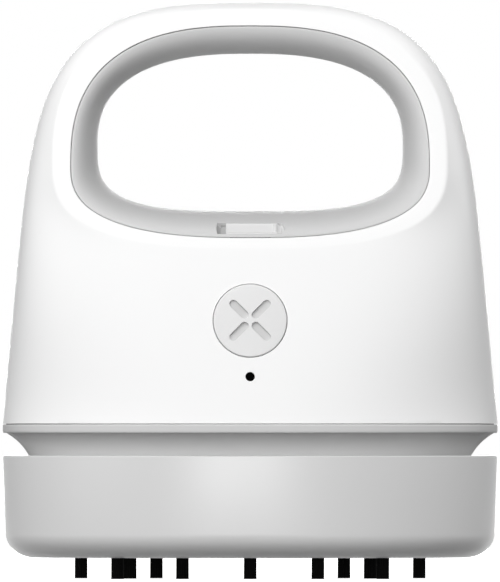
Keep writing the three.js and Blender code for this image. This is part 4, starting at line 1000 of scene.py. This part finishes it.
def dress_inner_nodes():
    """Gives each part of the inside that keeps its own solid the material of its finish."""
    finishes = {
        nickel_steel: ["collar_screw_front_left", "collar_screw_front_right", "collar_screw_rear_left",
                       "collar_screw_rear_right", "motor_shaft", "motor_can", "usb_socket"],
        dark_nylon: ["switch_plunger", "power_switch", "slide_switch", "fan_housing", "motor_end_cap"],
        solder_mask: ["button_board", "slide_board", "charge_board"],
        diode_resin: ["status_light"],
        pale_abs: ["impeller", "filter_frame"],
        seal_rubber: ["motor_damper", "filter_seal"],
        sintered_bronze: ["lower_bush", "upper_bush"],
        shrink_wrap: ["battery_left", "battery_right"],
        filter_medium: ["filter_pleats"],
    }
    for material, nodes in finishes.items():
        for node in nodes:
            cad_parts[node].material_slots[0].material = material


front_shell()
rear_shell()
grip_ring()
slide_knob()
power_button()
status_window()
neck_collar()
dust_box()
brush_strips()
dress_inner_nodes()


# Studio: a pale floor, a white surround, soft lamps and a long lens held level

WHITE = srgb("ffffff")
FLOOR_REACH = 9000
FLOOR_GLOW = 0.93


def seen_directly(add):
    """One for what the camera sees, mirrored or through a surface too, and nought for other light."""
    path = add("ShaderNodeLightPath").outputs
    seen = path["Is Camera Ray"]
    for kind in ("Is Glossy Ray", "Is Transmission Ray"):
        seen = add("ShaderNodeMath", {0: seen, 1: path[kind]}, operation="MAXIMUM").outputs[0]
    return seen


def studio_floor():
    """A matt floor that shows white and throws little light back on the object."""
    signs = ((-1, -1), (1, -1), (1, 1), (-1, 1))
    corners = [(x * FLOOR_REACH, y * FLOOR_REACH, 0) for x, y in signs]
    floor = mesh_object("studio_floor", corners, [(0, 1, 2, 3)])
    material, add = new_material("matt white studio floor")
    seen = seen_directly(add)
    bounce = add("ShaderNodeMix", {"Factor": seen, "A": srgb("2c2c2c"), "B": WHITE}, data_type="RGBA")
    lit = add("ShaderNodeBsdfDiffuse", {"Color": bounce.outputs["Result"]})
    glow = add("ShaderNodeMath", {0: seen, 1: FLOOR_GLOW}, operation="MULTIPLY")
    plain = add("ShaderNodeEmission", {"Color": WHITE, "Strength": glow.outputs[0]})
    both = add("ShaderNodeAddShader", {0: lit.outputs["BSDF"], 1: plain.outputs["Emission"]})
    add("ShaderNodeOutputMaterial", {"Surface": both.outputs["Shader"]})
    floor.data.materials.append(material)


def white_surround(strength):
    """A surround that shows plain white and lights the object with this strength."""
    world = bpy.data.worlds.new("white surround")
    scene.world = world
    world.use_nodes = True
    world.node_tree.nodes.clear()
    add = partial(add_node, world.node_tree)
    lit = add("ShaderNodeBackground", {"Color": WHITE, "Strength": strength})
    plain = add("ShaderNodeBackground", {"Color": WHITE, "Strength": 1.0})
    mixed = add("ShaderNodeMixShader", {
        "Fac": seen_directly(add), 1: lit.outputs["Background"], 2: plain.outputs["Background"]})
    add("ShaderNodeOutputWorld", {"Surface": mixed.outputs["Shader"]})


def soft_box(name, azimuth, elevation, power, size=0.6):
    """A square lamp a metre from the object's middle, aimed at it. Azimuth 0 is in front, 90 to the right."""
    data = bpy.data.lights.new(name, "AREA")
    data.size = size
    data.energy = power
    lamp = bpy.data.objects.new(name, data)
    middle = Vector((0, 0, 0.06))
    across, up = math.radians(azimuth), math.radians(elevation)
    away = Vector((math.sin(across) * math.cos(up), -math.cos(across) * math.cos(up), math.sin(up)))
    lamp.location = middle + away
    lamp.rotation_euler = away.to_track_quat("Z", "Y").to_euler()
    scene.collection.objects.link(lamp)


def level_camera():
    """An almost level long lens, so far away that its picture is this high where the front stands."""
    picture_height, front, aside, height, aim = 0.1291, -0.012, -0.00003, 0.04, 0.0639
    data = bpy.data.cameras.new("level long lens")
    data.sensor_width = 36
    data.lens = 1400
    data.clip_end = 50
    camera = bpy.data.objects.new("level long lens", data)
    distance = picture_height * data.lens / data.sensor_width
    camera.location = (aside, front - distance, height)
    camera.rotation_euler = (math.pi / 2 + math.atan2(aim - height, distance), 0, 0)
    scene.collection.objects.link(camera)
    scene.camera = camera


studio_floor()
white_surround(strength=0.08)
soft_box("low front lamp", azimuth=-2, elevation=0, power=2.5, size=0.12)
soft_box("upper front lamp", azimuth=-5, elevation=40, power=5.7)
soft_box("top lamp", azimuth=0, elevation=88, power=0.5)
soft_box("left lamp", azimuth=-40, elevation=15, power=2.9)
soft_box("rear right lamp", azimuth=107, elevation=20, power=3.2, size=0.3)
soft_box("rear left lamp", azimuth=-105, elevation=20, power=0.9, size=0.3)
soft_box("back lamp", azimuth=180, elevation=3, power=6, size=0.4)
level_camera()
scene.view_settings.view_transform = "Standard"
